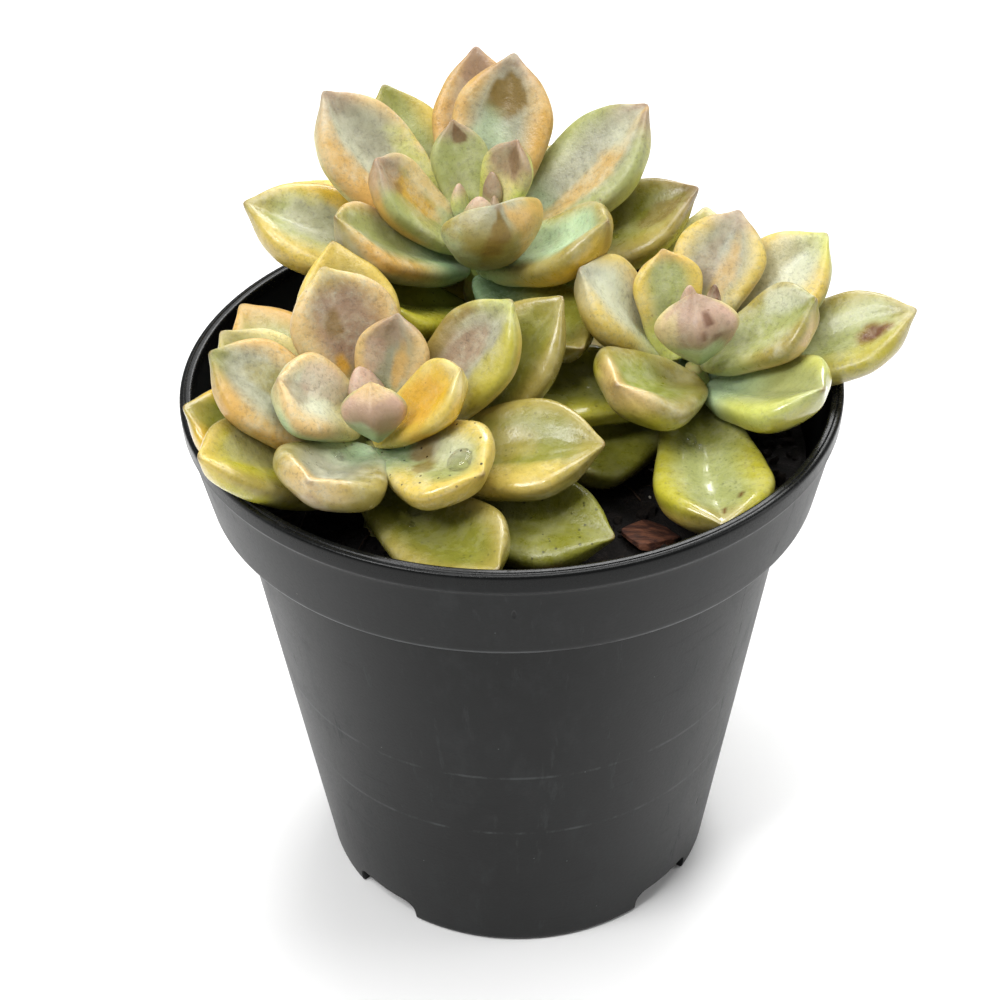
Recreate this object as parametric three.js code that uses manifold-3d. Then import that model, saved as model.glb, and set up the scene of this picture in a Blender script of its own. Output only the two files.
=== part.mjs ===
// A potted succulent: three rosettes of thick, pointed leaves on short stems, rooted in dark soil
// in a round nursery pot. Millimetres, +Z up. The origin is the centre of the pot's flat foot.
// -Y is the front of the plant and +X is its right.

import * as THREE from 'three';
import { mergeVertices } from 'three/addons/utils/BufferGeometryUtils.js';
import Module from 'manifold-3d';

// Pot.
const potHeight = 92.8;
const rimRadius = 51;
const bandRadius = 47.9;
const bandBottom = 76.3;
const bodyTopRadius = 44.15;
const footRadius = 33.4;
const wall = 1.6;
const floorThickness = 2;
const edgeRadius = 0.6;
const lipSwell = 0.4;
const potSides = 72;

// Drain notches around the foot.
const notchAngles = [-133, -43, 47, 137];
const notchHeight = 4.2;
const notchWidth = 13;
const notchInnerRadius = 26;
const notchCorner = 2.2;
const notchOvercut = 2;

// Soil.
const soilLevel = 80;
const soilCrown = 1.2;
const soilSides = 48;
const contactGap = 0.3;

// Stems, from below the soil to just under the youngest leaves.
const stemRadius = 2.4;
const stemFoot = 66;
const stemTopDrop = 2.5;
const footTaper = 4;
const tipTaper = 3;
const tipRound = 0.6;
const stemSides = 16;

// Buds, just above the stem's tip.
const budRise = 0.5;
const budSpread = 0.2;
const budBow = 0.5;

// Leaves. The youngest start closer to the axis, above the end of the stem.
const coreStart = 1.9;
const outerStart = 3.2;
const leafSides = 12;
const leafRows = 10;
const widestAt = 0.62;
const leafThickness = 0.4;
const leafCup = 0.13;
const topShare = 0.3;

// Settling. Each leaf bends at stations along it, until none is inside another by more than the
// limit or the passes run out, and springs part of the way back in the first half of the passes.
// A leaf's edge moves over the pot's rim where it is within reach of its top.
const stations = 12;
const leafGap = 0.5;
const pushLimit = 0.6;
const rimReach = 6;
const asideReluctance = 1.6;
const settledWithin = 0.05;
const settlePasses = 400;
const earlySpring = 0.97;
const pairYield = 0.25;
const obstacleYield = 0.8;
const testRows = 14;
const testColumns = 16;

const degree = Math.PI / 180;

const wasm = await Module();
wasm.setup();

// Rosettes: where the youngest leaves sit. Each leaf grows at a height along the stem, counted down
// from there, turns about it from +X towards +Y, and lifts above the horizontal. The whole rosette
// faces forward by its lean, in degrees, which rolls the leaves at its sides. The heart is where its
// bud stands beside the stem's axis, in X and Y, and the bud's scale.
const rosettes = [
  {
    name: 'back',
    top: new THREE.Vector3(-5, 16, 108),
    lean: 16,
    heart: [0, 0, 1],
    // name, turn, lift, length, width, drop, bow
    leaves: [
      ['core_1', 26, 68, 15, 8.5, -0.5, 1],
      ['core_2', 117, 66, 17, 9, 0, 1],
      ['inner_1', -77, 48, 18, 15.5, 0.5, 1.5],
      ['inner_2', -172, 50, 20, 12, 1.5, 2],
      ['middle_1', 157, 46, 32, 16, 3, 3],
      ['middle_2', 68, 56, 29.5, 15.5, 3, 3],
      ['middle_3', 17, 40, 33, 16, 4, 3],
      ['middle_4', -36, 34, 26, 15, 5, 2.5],
      ['middle_5', -149, 34, 25.5, 14, 4.5, 2.5],
      ['outer_1', 94, 53, 34, 15, 6, 3],
      ['outer_2', 122, 44, 33.5, 15, 7, 3],
      ['outer_3', 6, 22.5, 34.5, 15, 7.5, 2.5],
      ['outer_4', 178, 19, 35.5, 17, 7, 2.5],
      ['outer_5', 150, 19, 34, 15, 9, 2.5],
      ['outer_6', -135, 29, 19, 14, 9, 2],
      ['outer_7', -57, 2, 27, 14, 8, 2],
      ['outer_8', 62, 22, 31, 14, 10, 2.5],
      ['outer_9', 102, 20, 30, 14, 11, 2.5],
    ],
  },
  {
    name: 'left',
    top: new THREE.Vector3(-20, -22, 97),
    lean: 20,
    heart: [-1, 2.2, 0.62],
    leaves: [
      ['core_1', -92, 74, 10.5, 10.5, -0.5, 1],
      ['inner_1', 62, 70, 17, 10.5, 0.8, 1.5],
      ['inner_2', -166, 42, 15.5, 13.5, 0.5, 1.5],
      ['inner_3', -14, 49, 17.5, 10.5, 1.2, 1.5],
      ['middle_1', 129, 57, 25, 15.5, 2.5, 2.5],
      ['middle_2', 17, 49, 27.5, 14, 3, 2.5],
      ['middle_3', -112, 23.5, 18.5, 16, 3.5, 2],
      ['middle_4', -43, 11, 20.5, 15.5, 4, 2],
      ['middle_5', 175, 33, 26, 14.5, 4.5, 2.5],
      ['outer_1', 105, 44, 32, 15, 5, 2.5],
      ['outer_2', -11, 7, 31.5, 16, 4.5, 2.5],
      ['outer_3', 152, 37, 27, 14.5, 5.5, 2.5],
      ['outer_4', -147, 19, 25, 14, 5, 2],
      ['outer_5', 22, 42, 34.5, 14.5, 6.5, 2.5],
      ['outer_6', 175, 18, 26.5, 14.5, 6.5, 2.5],
      ['outer_7', 130, 24, 35, 15.5, 8, 2.5],
      ['outer_8', -51, 2, 28, 15.5, 8, 2.5],
      ['outer_9', -26, 2, 34.5, 15.5, 11, 2],
    ],
  },
  {
    name: 'right',
    top: new THREE.Vector3(28, -4, 98),
    lean: 18,
    heart: [0, 1.6, 0.5],
    leaves: [
      ['core_1', -75, 74, 13.5, 14, -0.3, 0.8],
      ['inner_1', 114, 56, 15, 10.5, 0.6, 1.5],
      ['inner_2', 59, 41, 22, 13.5, 2.3, 2],
      ['inner_3', -15, 39.5, 19.5, 13, 1.5, 2],
      ['inner_4', 180, 39, 21.5, 14, 2, 2],
      ['middle_1', -48, 24.5, 22.5, 15, 3.5, 2],
      ['middle_2', -131, 26, 19.5, 16.5, 3.5, 2],
      ['middle_3', 88, 39, 27, 14.5, 4, 2.5],
      ['middle_4', 22, 38, 27, 14.5, 4.5, 2.5],
      ['outer_1', 3, 19.5, 31.5, 14.5, 3.2, 1.6],
      ['outer_2', -170, 12, 27, 15, 6, 2.5],
      ['outer_3', -87, -2, 29, 17, 7.5, 2.5],
      ['outer_4', 130, 22, 27, 14, 8, 2.5],
      ['outer_5', 55, 15, 30, 14, 8.5, 2.5],
      ['outer_6', -140, 5.5, 22, 15, 9.5, 2.5],
      ['outer_7', 95, 8, 26, 14, 10, 2.5],
    ],
  },
];

// Youngest leaves in each rosette's heart, grown together as one bud: turn, lift, length, width.
const budLeaves = [
  [200, 72, 8, 5],
  [20, 76, 7, 4.6],
  [300, 70, 7, 5],
  [110, 74, 6.5, 4.4],
];

const colours = {
  pot: 0x2c2e2f,
  soil: 0x17120f,
  stem: 0x9a9a62,
  core: 0xd3b7b0,
  inner: 0xcfc0a0,
  middle: 0xa9b58d,
  outer: 0x9aa543,
};

const potMaterial = new THREE.MeshStandardMaterial({ color: colours.pot, roughness: 0.5, metalness: 0 });
const soilMaterial = new THREE.MeshStandardMaterial({ color: colours.soil, roughness: 1, metalness: 0 });

// Turns a closed geometry into a manifold solid.
function solidOf(geometry) {
  const bare = geometry.clone();
  bare.deleteAttribute('normal');
  bare.deleteAttribute('uv');
  const merged = mergeVertices(bare, 1e-4);
  return new wasm.Manifold(new wasm.Mesh({
    numProp: 3,
    vertProperties: merged.attributes.position.array,
    triVerts: new Uint32Array(merged.index.array),
  }));
}

// Turns a manifold solid back into a geometry.
function geometryOf(solid) {
  const mesh = solid.getMesh();
  const geometry = new THREE.BufferGeometry();
  geometry.setAttribute('position', new THREE.BufferAttribute(mesh.vertProperties, 3));
  geometry.setIndex(new THREE.BufferAttribute(mesh.triVerts, 1));
  geometry.computeVertexNormals();
  return geometry;
}

// A closed solid turned about the Z axis from a profile of [radius, height] points.
function turned(profile, sides) {
  const points = profile.map(([radius, height]) => new THREE.Vector2(radius, height));
  const geometry = new THREE.LatheGeometry(points, sides);
  geometry.rotateX(Math.PI / 2);
  return geometry;
}

// The pot's outline: up the outside, over the lip and down the inside.
function potProfile() {
  const lipInner = rimRadius - wall - lipSwell;
  return [
    [0, 0],
    [footRadius - edgeRadius, 0],
    [footRadius, edgeRadius],
    [bodyTopRadius, bandBottom],
    [bandRadius - edgeRadius, bandBottom],
    [bandRadius, bandBottom + edgeRadius],
    [rimRadius, potHeight - 2 * edgeRadius],
    [rimRadius, potHeight - edgeRadius],
    [rimRadius - edgeRadius, potHeight],
    [lipInner + edgeRadius, potHeight],
    [lipInner, potHeight - edgeRadius],
    [bandRadius - wall, bandBottom + wall],
    [bodyTopRadius - wall, bandBottom + wall],
    [footRadius - wall, floorThickness],
    [0, floorThickness],
  ];
}

// One drain notch: a block with round upper corners, through the wall and the edge of the floor.
function notchSolid(angle) {
  const corner = notchCorner;
  const half = notchWidth / 2;
  const shape = new THREE.Shape();
  shape.moveTo(-half, -notchOvercut);
  shape.lineTo(half, -notchOvercut);
  shape.lineTo(half, notchHeight - corner);
  shape.absarc(half - corner, notchHeight - corner, corner, 0, Math.PI / 2);
  shape.absarc(corner - half, notchHeight - corner, corner, Math.PI / 2, Math.PI);
  shape.closePath();
  const depth = footRadius + notchOvercut - notchInnerRadius;
  const geometry = new THREE.ExtrudeGeometry(shape, { depth, bevelEnabled: false, curveSegments: 5 });
  geometry.rotateX(Math.PI / 2);
  geometry.rotateZ(Math.PI / 2);
  geometry.translate(notchInnerRadius, 0, 0);
  geometry.rotateZ(angle * degree);
  return solidOf(geometry);
}

function potGeometry() {
  const shell = solidOf(turned(potProfile(), potSides));
  return geometryOf(notchAngles.reduce((pot, angle) => pot.subtract(notchSolid(angle)), shell));
}

// The soil fills the pot to a low crown, with a socket around each stem.
function soilGeometry() {
  const step = bandBottom + wall;
  const body = turned([
    [0, floorThickness + contactGap],
    [footRadius - wall - 2 * contactGap, floorThickness + contactGap],
    [bodyTopRadius - wall - 2 * contactGap, step + contactGap],
    [bandRadius - wall - 2 * contactGap, step + contactGap],
    [bandRadius - wall - contactGap, soilLevel],
    [(bandRadius - wall) / 2, soilLevel + 0.75 * soilCrown],
    [0, soilLevel + soilCrown],
  ], soilSides);
  const sockets = rosettes.map(({ top }) => solidOf(stemGeometry(top, contactGap)));
  return geometryOf(sockets.reduce((soil, socket) => soil.subtract(socket), solidOf(body)));
}

// A stem from below the soil to just under the youngest leaves, grown by a gap for its socket.
function stemGeometry(top, gap) {
  const radius = stemRadius + gap;
  const height = top.z - stemTopDrop;
  const geometry = turned([
    [0, stemFoot - gap],
    [0.7 * radius, stemFoot - gap],
    [radius, stemFoot + footTaper],
    [radius, height - tipTaper],
    [0.6 * radius, height - tipRound],
    [0, height],
  ], stemSides);
  geometry.translate(top.x, top.y, 0);
  return geometry;
}

// A leaf's frame: x along its chord from the stem to the tip, z up out of its face, y across.
function growLeaf(rosette, [name, turn, lift, length, width, drop, bow], start) {
  const outward = new THREE.Vector3(Math.cos(turn * degree), Math.sin(turn * degree), 0);
  const up = new THREE.Vector3(0, 0, 1);
  const x = outward.clone().multiplyScalar(Math.cos(lift * degree));
  x.addScaledVector(up, Math.sin(lift * degree));
  const facing = new THREE.Vector3(0, -Math.sin(rosette.lean * degree), Math.cos(rosette.lean * degree));
  const y = facing.cross(x).normalize();
  const base = rosette.top.clone().addScaledVector(outward, start).addScaledVector(up, -drop);
  return {
    name: `leaf_${rosette.name}_${name}`,
    age: name.split('_')[0],
    base,
    x,
    y,
    z: x.clone().cross(y),
    length,
    width,
    bow,
    across: new Array(stations + 1).fill(0),
    raised: new Array(stations + 1).fill(0),
    fixed: false,
  };
}

// Half the leaf's width at a share u of its length: a narrow foot, a broad shoulder, a blunt point.
function halfWidth(leaf, u) {
  if (u < widestAt) {
    return leaf.width / 2 * (0.26 + 0.74 * Math.sin(Math.PI / 2 * u / widestAt) ** 1.25);
  }
  return leaf.width / 2 * (1 - ((u - widestAt) / (1 - widestAt)) ** 1.7);
}

// The leaf's thickness along its middle.
function thickness(leaf, u) {
  const swell = 0.42 + 0.58 * Math.sin(Math.PI * Math.min(1, u / 0.9) / 1.25);
  return leafThickness * leaf.width * swell * Math.sqrt(Math.max(0, 1 - u ** 7));
}

// How far the leaf's edges stand above its middle.
function cupDepth(leaf, u) {
  return leafCup * leaf.width * Math.sin(Math.PI * Math.min(1, u)) ** 0.8;
}

// A value held at evenly spaced stations along the leaf, read between two of them.
function along(values, u) {
  const place = Math.min(stations - 1e-6, Math.max(0, u * stations));
  const index = Math.floor(place);
  return values[index] + (values[index + 1] - values[index]) * (place - index);
}

// A point of the leaf's skin: u along it, and the angle around it from its right edge over its face.
function skinPoint(leaf, u, angle) {
  const edge = Math.cos(angle);
  const rise = Math.sin(angle);
  const middle = along(leaf.raised, u) - leaf.bow * 4 * u * (1 - u);
  const depth = rise > 0 ? topShare * rise : -(1 - topShare) * Math.abs(rise) ** 0.9;
  const across = along(leaf.across, u) + halfWidth(leaf, u) * edge;
  const raised = middle + cupDepth(leaf, u) * edge * edge + thickness(leaf, u) * depth;
  return leaf.base.clone()
    .addScaledVector(leaf.x, leaf.length * u)
    .addScaledVector(leaf.y, across)
    .addScaledVector(leaf.z, raised);
}

// Where along the leaf a row of its mesh lies. The rows draw closer towards the tip.
function rowShare(row) {
  const share = Math.max(0, row - 1) / (leafRows - 1);
  return 0.35 * share + 0.65 * Math.sin(Math.PI / 2 * share);
}

// A leaf's closed mesh: a sphere whose rows are moved to the leaf's sections.
function leafGeometry(leaf) {
  const geometry = new THREE.SphereGeometry(1, leafSides, leafRows);
  const position = geometry.attributes.position;
  for (let index = 0; index < position.count; index += 1) {
    const row = Math.floor(index / (leafSides + 1));
    const column = index % (leafSides + 1);
    const angle = Math.PI - 2 * Math.PI * (column % leafSides) / leafSides;
    const isPole = row === 0 || row === leafRows;
    const point = isPole ? poleOf(leaf, row) : skinPoint(leaf, rowShare(row), angle);
    position.setXYZ(index, point.x, point.y, point.z);
  }
  geometry.computeVertexNormals();
  return geometry;
}

// The middle of the flat foot, or the tip.
function poleOf(leaf, row) {
  const u = row === 0 ? 0 : 1;
  return leaf.base.clone()
    .addScaledVector(leaf.x, leaf.length * u)
    .addScaledVector(leaf.y, along(leaf.across, u))
    .addScaledVector(leaf.z, along(leaf.raised, u));
}

// The shortest push that takes a point out of a leaf's skin, or null where the point is clear of it:
// over the leaf's face, under its keel or past its edge.
function wayOut(leaf, point) {
  const dx = point.x - leaf.base.x;
  const dy = point.y - leaf.base.y;
  const dz = point.z - leaf.base.z;
  const share = (dx * leaf.x.x + dy * leaf.x.y + dz * leaf.x.z) / leaf.length;
  const margin = leafGap / leaf.length;
  if (share < -margin || share > 1 + margin) return null;
  const u = Math.min(1, Math.max(0, share));
  const half = halfWidth(leaf, u) + leafGap;
  const edge = (dx * leaf.y.x + dy * leaf.y.y + dz * leaf.y.z - along(leaf.across, u)) / half;
  if (Math.abs(edge) >= 1) return null;
  const rise = Math.sqrt(1 - edge * edge);
  const middle = along(leaf.raised, u) - leaf.bow * 4 * u * (1 - u) + cupDepth(leaf, u) * edge * edge;
  const height = dx * leaf.z.x + dy * leaf.z.y + dz * leaf.z.z - middle;
  const depth = thickness(leaf, u);
  const over = topShare * depth * rise + leafGap - height;
  const under = height + (1 - topShare) * depth * rise ** 0.9 + leafGap;
  if (over <= 0 || under <= 0) return null;
  const aside = (1 - Math.abs(edge)) * half * asideReluctance;
  if (aside < over && aside < under) {
    return { u, direction: leaf.y, distance: aside / asideReluctance * Math.sign(edge) };
  }
  return { u, direction: leaf.z, distance: over < under ? over : -under };
}

// Bends a leaf at a share of its length, as far as the push points across or out of its face.
function bend(leaf, u, push, share) {
  if (leaf.fixed) return;
  const place = Math.min(stations - 1e-6, Math.max(0, u * stations));
  const index = Math.floor(place);
  const next = place - index;
  const across = push.dot(leaf.y) * share;
  const raised = push.dot(leaf.z) * share;
  leaf.across[index] += across * (1 - next);
  leaf.across[index + 1] += across * next;
  leaf.raised[index] += raised * (1 - next);
  leaf.raised[index + 1] += raised * next;
}

// Evens out a leaf's bending and springs part of it back, as stiff flesh would.
function relax(values, spring) {
  const old = values.slice();
  for (let index = 0; index <= stations; index += 1) {
    const before = old[Math.max(0, index - 1)];
    const after = old[Math.min(stations, index + 1)];
    values[index] = spring * (0.5 * old[index] + 0.25 * (before + after));
  }
}

// The inner radius of the pot at a height.
function potInside(height) {
  const rise = (height - bandBottom) / (potHeight - bandBottom);
  return bandRadius - wall + rise * (rimRadius - bandRadius) - leafGap;
}

// Keeps a point of a leaf above the soil and inside the pot, or over its rim.
function obstaclePush(point) {
  const soilTop = soilLevel + soilCrown + leafGap;
  if (point.z < soilTop) return new THREE.Vector3(0, 0, soilTop - point.z);
  const radius = Math.hypot(point.x, point.y);
  const excess = radius - potInside(point.z);
  const sink = potHeight + leafGap - point.z;
  if (sink <= 0 || excess <= 0) return null;
  if (sink < rimReach) return new THREE.Vector3(0, 0, sink);
  return new THREE.Vector3(-point.x, -point.y, 0).multiplyScalar(excess / radius);
}

// The points of a leaf's skin that are tested against its neighbours.
function testPoints(leaf) {
  const points = [];
  for (let row = 0; row <= testRows; row += 1) {
    for (let column = 0; column < testColumns; column += 1) {
      const u = row / testRows;
      points.push({ u, point: skinPoint(leaf, u, 2 * Math.PI * column / testColumns) });
    }
  }
  return points;
}

// Pushes two leaves apart where the skin of one is inside the other. Returns the deepest overlap.
function separate(leaf, points, other) {
  const yielding = other.fixed || leaf.fixed ? 2 * pairYield : pairYield;
  let deepest = 0;
  for (const { u, point } of points) {
    const exit = wayOut(other, point);
    if (exit) {
      deepest = Math.max(deepest, Math.abs(exit.distance));
      const distance = THREE.MathUtils.clamp(exit.distance, -pushLimit, pushLimit);
      const push = exit.direction.clone().multiplyScalar(distance);
      bend(leaf, u, push, yielding);
      bend(other, exit.u, push, -yielding);
    }
  }
  return deepest;
}

// The middle of a leaf, from which its whole skin is within reach.
function middleOf(leaf) {
  return leaf.base.clone().addScaledVector(leaf.x, leaf.length / 2);
}

// Whether two leaves are close enough to touch.
function areNear(leaf, other) {
  const reach = (leaf.length + other.length) / 2 + 4;
  return middleOf(leaf).distanceTo(middleOf(other)) < reach;
}

// Settles the leaves against each other, the soil and the pot, as leaves do when they grow.
function settle(leaves, passes) {
  const neighbours = leaves.map((leaf) => leaves.filter((other) => other !== leaf
    && !(leaf.fixed && other.fixed) && areNear(leaf, other)));
  let deepest = Infinity;
  for (let pass = 0; pass < passes && deepest > settledWithin; pass += 1) {
    deepest = 0;
    leaves.forEach((leaf, index) => {
      const points = testPoints(leaf);
      for (const other of neighbours[index]) deepest = Math.max(deepest, separate(leaf, points, other));
      for (const { u, point } of points) {
        const push = obstaclePush(point);
        if (push) bend(leaf, u, push, obstacleYield);
      }
    });
    const spring = pass < passes / 2 ? earlySpring : 1;
    for (const leaf of leaves) {
      relax(leaf.across, spring);
      relax(leaf.raised, spring);
    }
  }
}

// The small leaves in a rosette's heart.
function growBud(rosette) {
  const [besideX, besideY, scale] = rosette.heart;
  return budLeaves.map(([turn, lift, length, width], index) => {
    const size = [length * scale, width * scale];
    const row = [`bud_${index}`, turn, lift, ...size, -budRise, budBow * scale];
    const leaf = growLeaf(rosette, row, budSpread * scale);
    leaf.base.add(new THREE.Vector3(besideX, besideY, 0));
    leaf.fixed = true;
    return leaf;
  });
}

function meshOf(name, geometry, material) {
  const mesh = new THREE.Mesh(geometry, material);
  mesh.name = name;
  return mesh;
}

function plantMaterial(colour) {
  return new THREE.MeshStandardMaterial({ color: colour, roughness: 0.45, metalness: 0 });
}

const plant = new THREE.Group();
plant.add(meshOf('pot', potGeometry(), potMaterial));
plant.add(meshOf('soil', soilGeometry(), soilMaterial));

const leaves = rosettes.flatMap((rosette) => rosette.leaves.map((row) => {
  return growLeaf(rosette, row, row[0].startsWith('core') ? coreStart : outerStart);
}));
const buds = rosettes.map(growBud);
settle([...leaves, ...buds.flat()], settlePasses);

rosettes.forEach((rosette, index) => {
  plant.add(meshOf(`stem_${rosette.name}`, stemGeometry(rosette.top, 0), plantMaterial(colours.stem)));
  const parts = buds[index].map((leaf) => solidOf(leafGeometry(leaf)));
  const bud = geometryOf(parts.reduce((whole, part) => whole.add(part)));
  plant.add(meshOf(`bud_${rosette.name}`, bud, plantMaterial(colours.core)));
});
for (const leaf of leaves) {
  plant.add(meshOf(leaf.name, leafGeometry(leaf), plantMaterial(colours[leaf.age])));
}

export default plant;
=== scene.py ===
import math
import random

import bmesh
import bpy
from mathutils import Matrix, Vector, noise


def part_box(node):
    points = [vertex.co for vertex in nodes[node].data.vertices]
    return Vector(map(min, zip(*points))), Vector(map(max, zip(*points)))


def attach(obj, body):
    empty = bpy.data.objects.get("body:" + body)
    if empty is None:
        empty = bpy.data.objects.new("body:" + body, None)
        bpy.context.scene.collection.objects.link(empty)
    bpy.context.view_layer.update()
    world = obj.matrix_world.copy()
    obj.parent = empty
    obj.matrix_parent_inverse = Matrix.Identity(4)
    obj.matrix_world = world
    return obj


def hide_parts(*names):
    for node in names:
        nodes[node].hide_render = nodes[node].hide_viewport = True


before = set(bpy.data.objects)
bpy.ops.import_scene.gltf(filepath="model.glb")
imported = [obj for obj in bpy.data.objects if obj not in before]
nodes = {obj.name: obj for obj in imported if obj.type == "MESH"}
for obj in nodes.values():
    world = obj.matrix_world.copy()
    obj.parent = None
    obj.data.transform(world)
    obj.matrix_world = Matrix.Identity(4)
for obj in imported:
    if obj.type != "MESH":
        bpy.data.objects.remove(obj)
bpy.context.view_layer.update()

MM = 0.001
FULL_TURN = 2 * math.pi
MERGE = 0.01 * MM

# The pot, as it was moulded: radii and heights in millimetres.
POT_HEIGHT = 92.8
RIM_RADIUS = 51
BAND_RADIUS = 47.9
BAND_BOTTOM = 76.3
BODY_TOP_RADIUS = 44.15
FOOT_RADIUS = 33.4
POT_WALL = 1.6
POT_FLOOR = 2
LIP_SWELL = 0.4
POT_STEPS = 192
NOTCH_ANGLES = (-133, -43, 47, 137)
NOTCH_HEIGHT = 4.2
NOTCH_WIDTH = 13
NOTCH_INNER = 26
NOTCH_CORNER = 2.2
MOULD_RINGS = (30, 44)

# The potting mix, with a small gap to the pot.
SOIL_LEVEL = 80
SOIL_RADIUS = BAND_RADIUS - POT_WALL - 0.15
SOIL_UNDERSIDE = BAND_BOTTOM + POT_WALL + 0.3
SOIL_RINGS = 46
SOIL_STEPS = 200

# A leaf's cross-section has this many sides. Each vertex knows how far along the leaf it is, from 0 to
# 1, how near to an edge, from -1 to 1, and how near to the upper face, from -1 on the keel to 1.
LEAF_SIDES = 12
PLACES = ("along", "edge", "face")


# ---------------------------------------------------------------- helpers


def smooth(low, high, value):
    """0 at low, 1 at high, with a soft start and end. Low may be the larger of the two."""
    share = min(1, max(0, (value - low) / (high - low)))
    return share * share * (3 - 2 * share)


def colour(code):
    """A linear colour from a six-digit sRGB code."""
    parts = [int(code[i : i + 2], 16) / 255 for i in (0, 2, 4)]
    linear = [p / 12.92 if p <= 0.04045 else ((p + 0.055) / 1.055) ** 2.4 for p in parts]
    return (*linear, 1)


def mixed(first, second, share):
    """A colour part of the way from the first to the second."""
    return tuple(a + (b - a) * share for a, b in zip(first, second))


def ripple(place, size, offset=0):
    """Smooth noise from -1 to 1 whose lumps are about size millimetres across."""
    return noise.noise(place / (size * MM) + Vector((offset, -offset, 2 * offset)))


# ---------------------------------------------------------------- finishes


class Field:
    """A value that varies over a surface. Arithmetic on it adds Math nodes."""

    def __init__(self, finish, socket):
        self.finish = finish
        self.socket = socket

    def math(self, operation, *values):
        """The result of one Math node on some values."""
        node = self.finish.node("Math", {"operation": operation}, dict(enumerate(values)))
        return Field(self.finish, node.outputs[0])

    def __add__(self, other):
        return self.math("ADD", self, other)

    __radd__ = __add__

    def __sub__(self, other):
        return self.math("SUBTRACT", self, other)

    def __rsub__(self, other):
        return self.math("SUBTRACT", other, self)

    def __mul__(self, other):
        return self.math("MULTIPLY", self, other)

    __rmul__ = __mul__

    def size(self):
        """The value without its sign."""
        return self.math("ABSOLUTE", self)

    def step(self, low, high):
        """0 below low and 1 above high, or the other way round where low is the larger."""
        limits = {"Value": self, "From Min": low, "From Max": high}
        node = self.finish.node("MapRange", {"interpolation_type": "SMOOTHSTEP"}, limits)
        return Field(self.finish, node.outputs[0])


class Finish:
    """A procedural material, with one method that adds any node to it."""

    def __init__(self, name):
        self.material = bpy.data.materials.new(name)
        self.material.use_nodes = True
        self.tree = self.material.node_tree
        self.tree.nodes.clear()
        self.place = self.node("TexCoord").outputs["Object"]

    def node(self, kind, settings=None, sockets=None):
        """Adds a node, with its settings first and then the values or links of its sockets."""
        node = self.tree.nodes.new("ShaderNode" + kind)
        for name, value in (settings or {}).items():
            setattr(node, name, value)
        for name, value in (sockets or {}).items():
            self.feed(node.inputs[name], value)
        return node

    def feed(self, target, value):
        """Links a value to a socket, or sets a plain number or colour on it."""
        source = value.socket if isinstance(value, Field) else value
        if isinstance(source, bpy.types.NodeSocket):
            self.tree.links.new(target, source)
        else:
            target.default_value = source

    def noise(self, size, detail=4, roughness=0.55, stretch=(1, 1, 1), shift=0):
        """Noise with lumps about size millimetres across, from 0 to 1 around a middle of 0.5."""
        shifted = {"Vector": self.place, "Scale": stretch, "Location": (shift, shift, shift)}
        place = self.node("Mapping", None, shifted).outputs[0]
        values = {"Vector": place, "Scale": 1 / (size * MM), "Detail": detail, "Roughness": roughness}
        return Field(self, self.node("TexNoise", None, values).outputs[0])

    def specks(self, size, stretch=(1, 1, 1)):
        """Distance to the nearest of a scatter of points about size millimetres apart."""
        place = self.node("Mapping", None, {"Vector": self.place, "Scale": stretch}).outputs[0]
        cells = self.node("TexVoronoi", None, {"Vector": place, "Scale": 1 / (size * MM)})
        chance = self.node("SeparateColor", None, {0: cells.outputs["Color"]})
        return Field(self, cells.outputs["Distance"]), Field(self, chance.outputs[0])

    def height(self):
        """The height above the ground, in millimetres."""
        parts = self.node("SeparateXYZ", None, {0: self.place})
        return Field(self, parts.outputs[2]) * (1 / MM)

    def painted(self, name):
        """An attribute that was painted on the surface, as a number."""
        settings = {"attribute_type": "GEOMETRY", "attribute_name": name}
        return Field(self, self.node("Attribute", settings).outputs["Fac"])

    def painted_colour(self, name):
        """An attribute that was painted on the surface, as a colour."""
        settings = {"attribute_type": "GEOMETRY", "attribute_name": name}
        return self.node("Attribute", settings).outputs["Color"]

    def blend(self, share, first, second, way="MIX"):
        """Two colours mixed by a share, or the first multiplied by the second."""
        settings = {"data_type": "RGBA", "blend_type": way}
        return self.node("Mix", settings, {0: share, 6: first, 7: second}).outputs[2]

    def bump(self, height, depth):
        """A relief of the given depth in millimetres."""
        sockets = {"Height": height, "Distance": depth * MM, "Strength": 1}
        return self.node("Bump", None, sockets).outputs[0]

    def finish(self, **sockets):
        """Ends the material with its surface and returns it."""
        named = {name.replace("_", " "): value for name, value in sockets.items()}
        surface = self.node("BsdfPrincipled", None, named)
        self.node("OutputMaterial", None, {"Surface": surface.outputs[0]})
        return self.material


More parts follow.
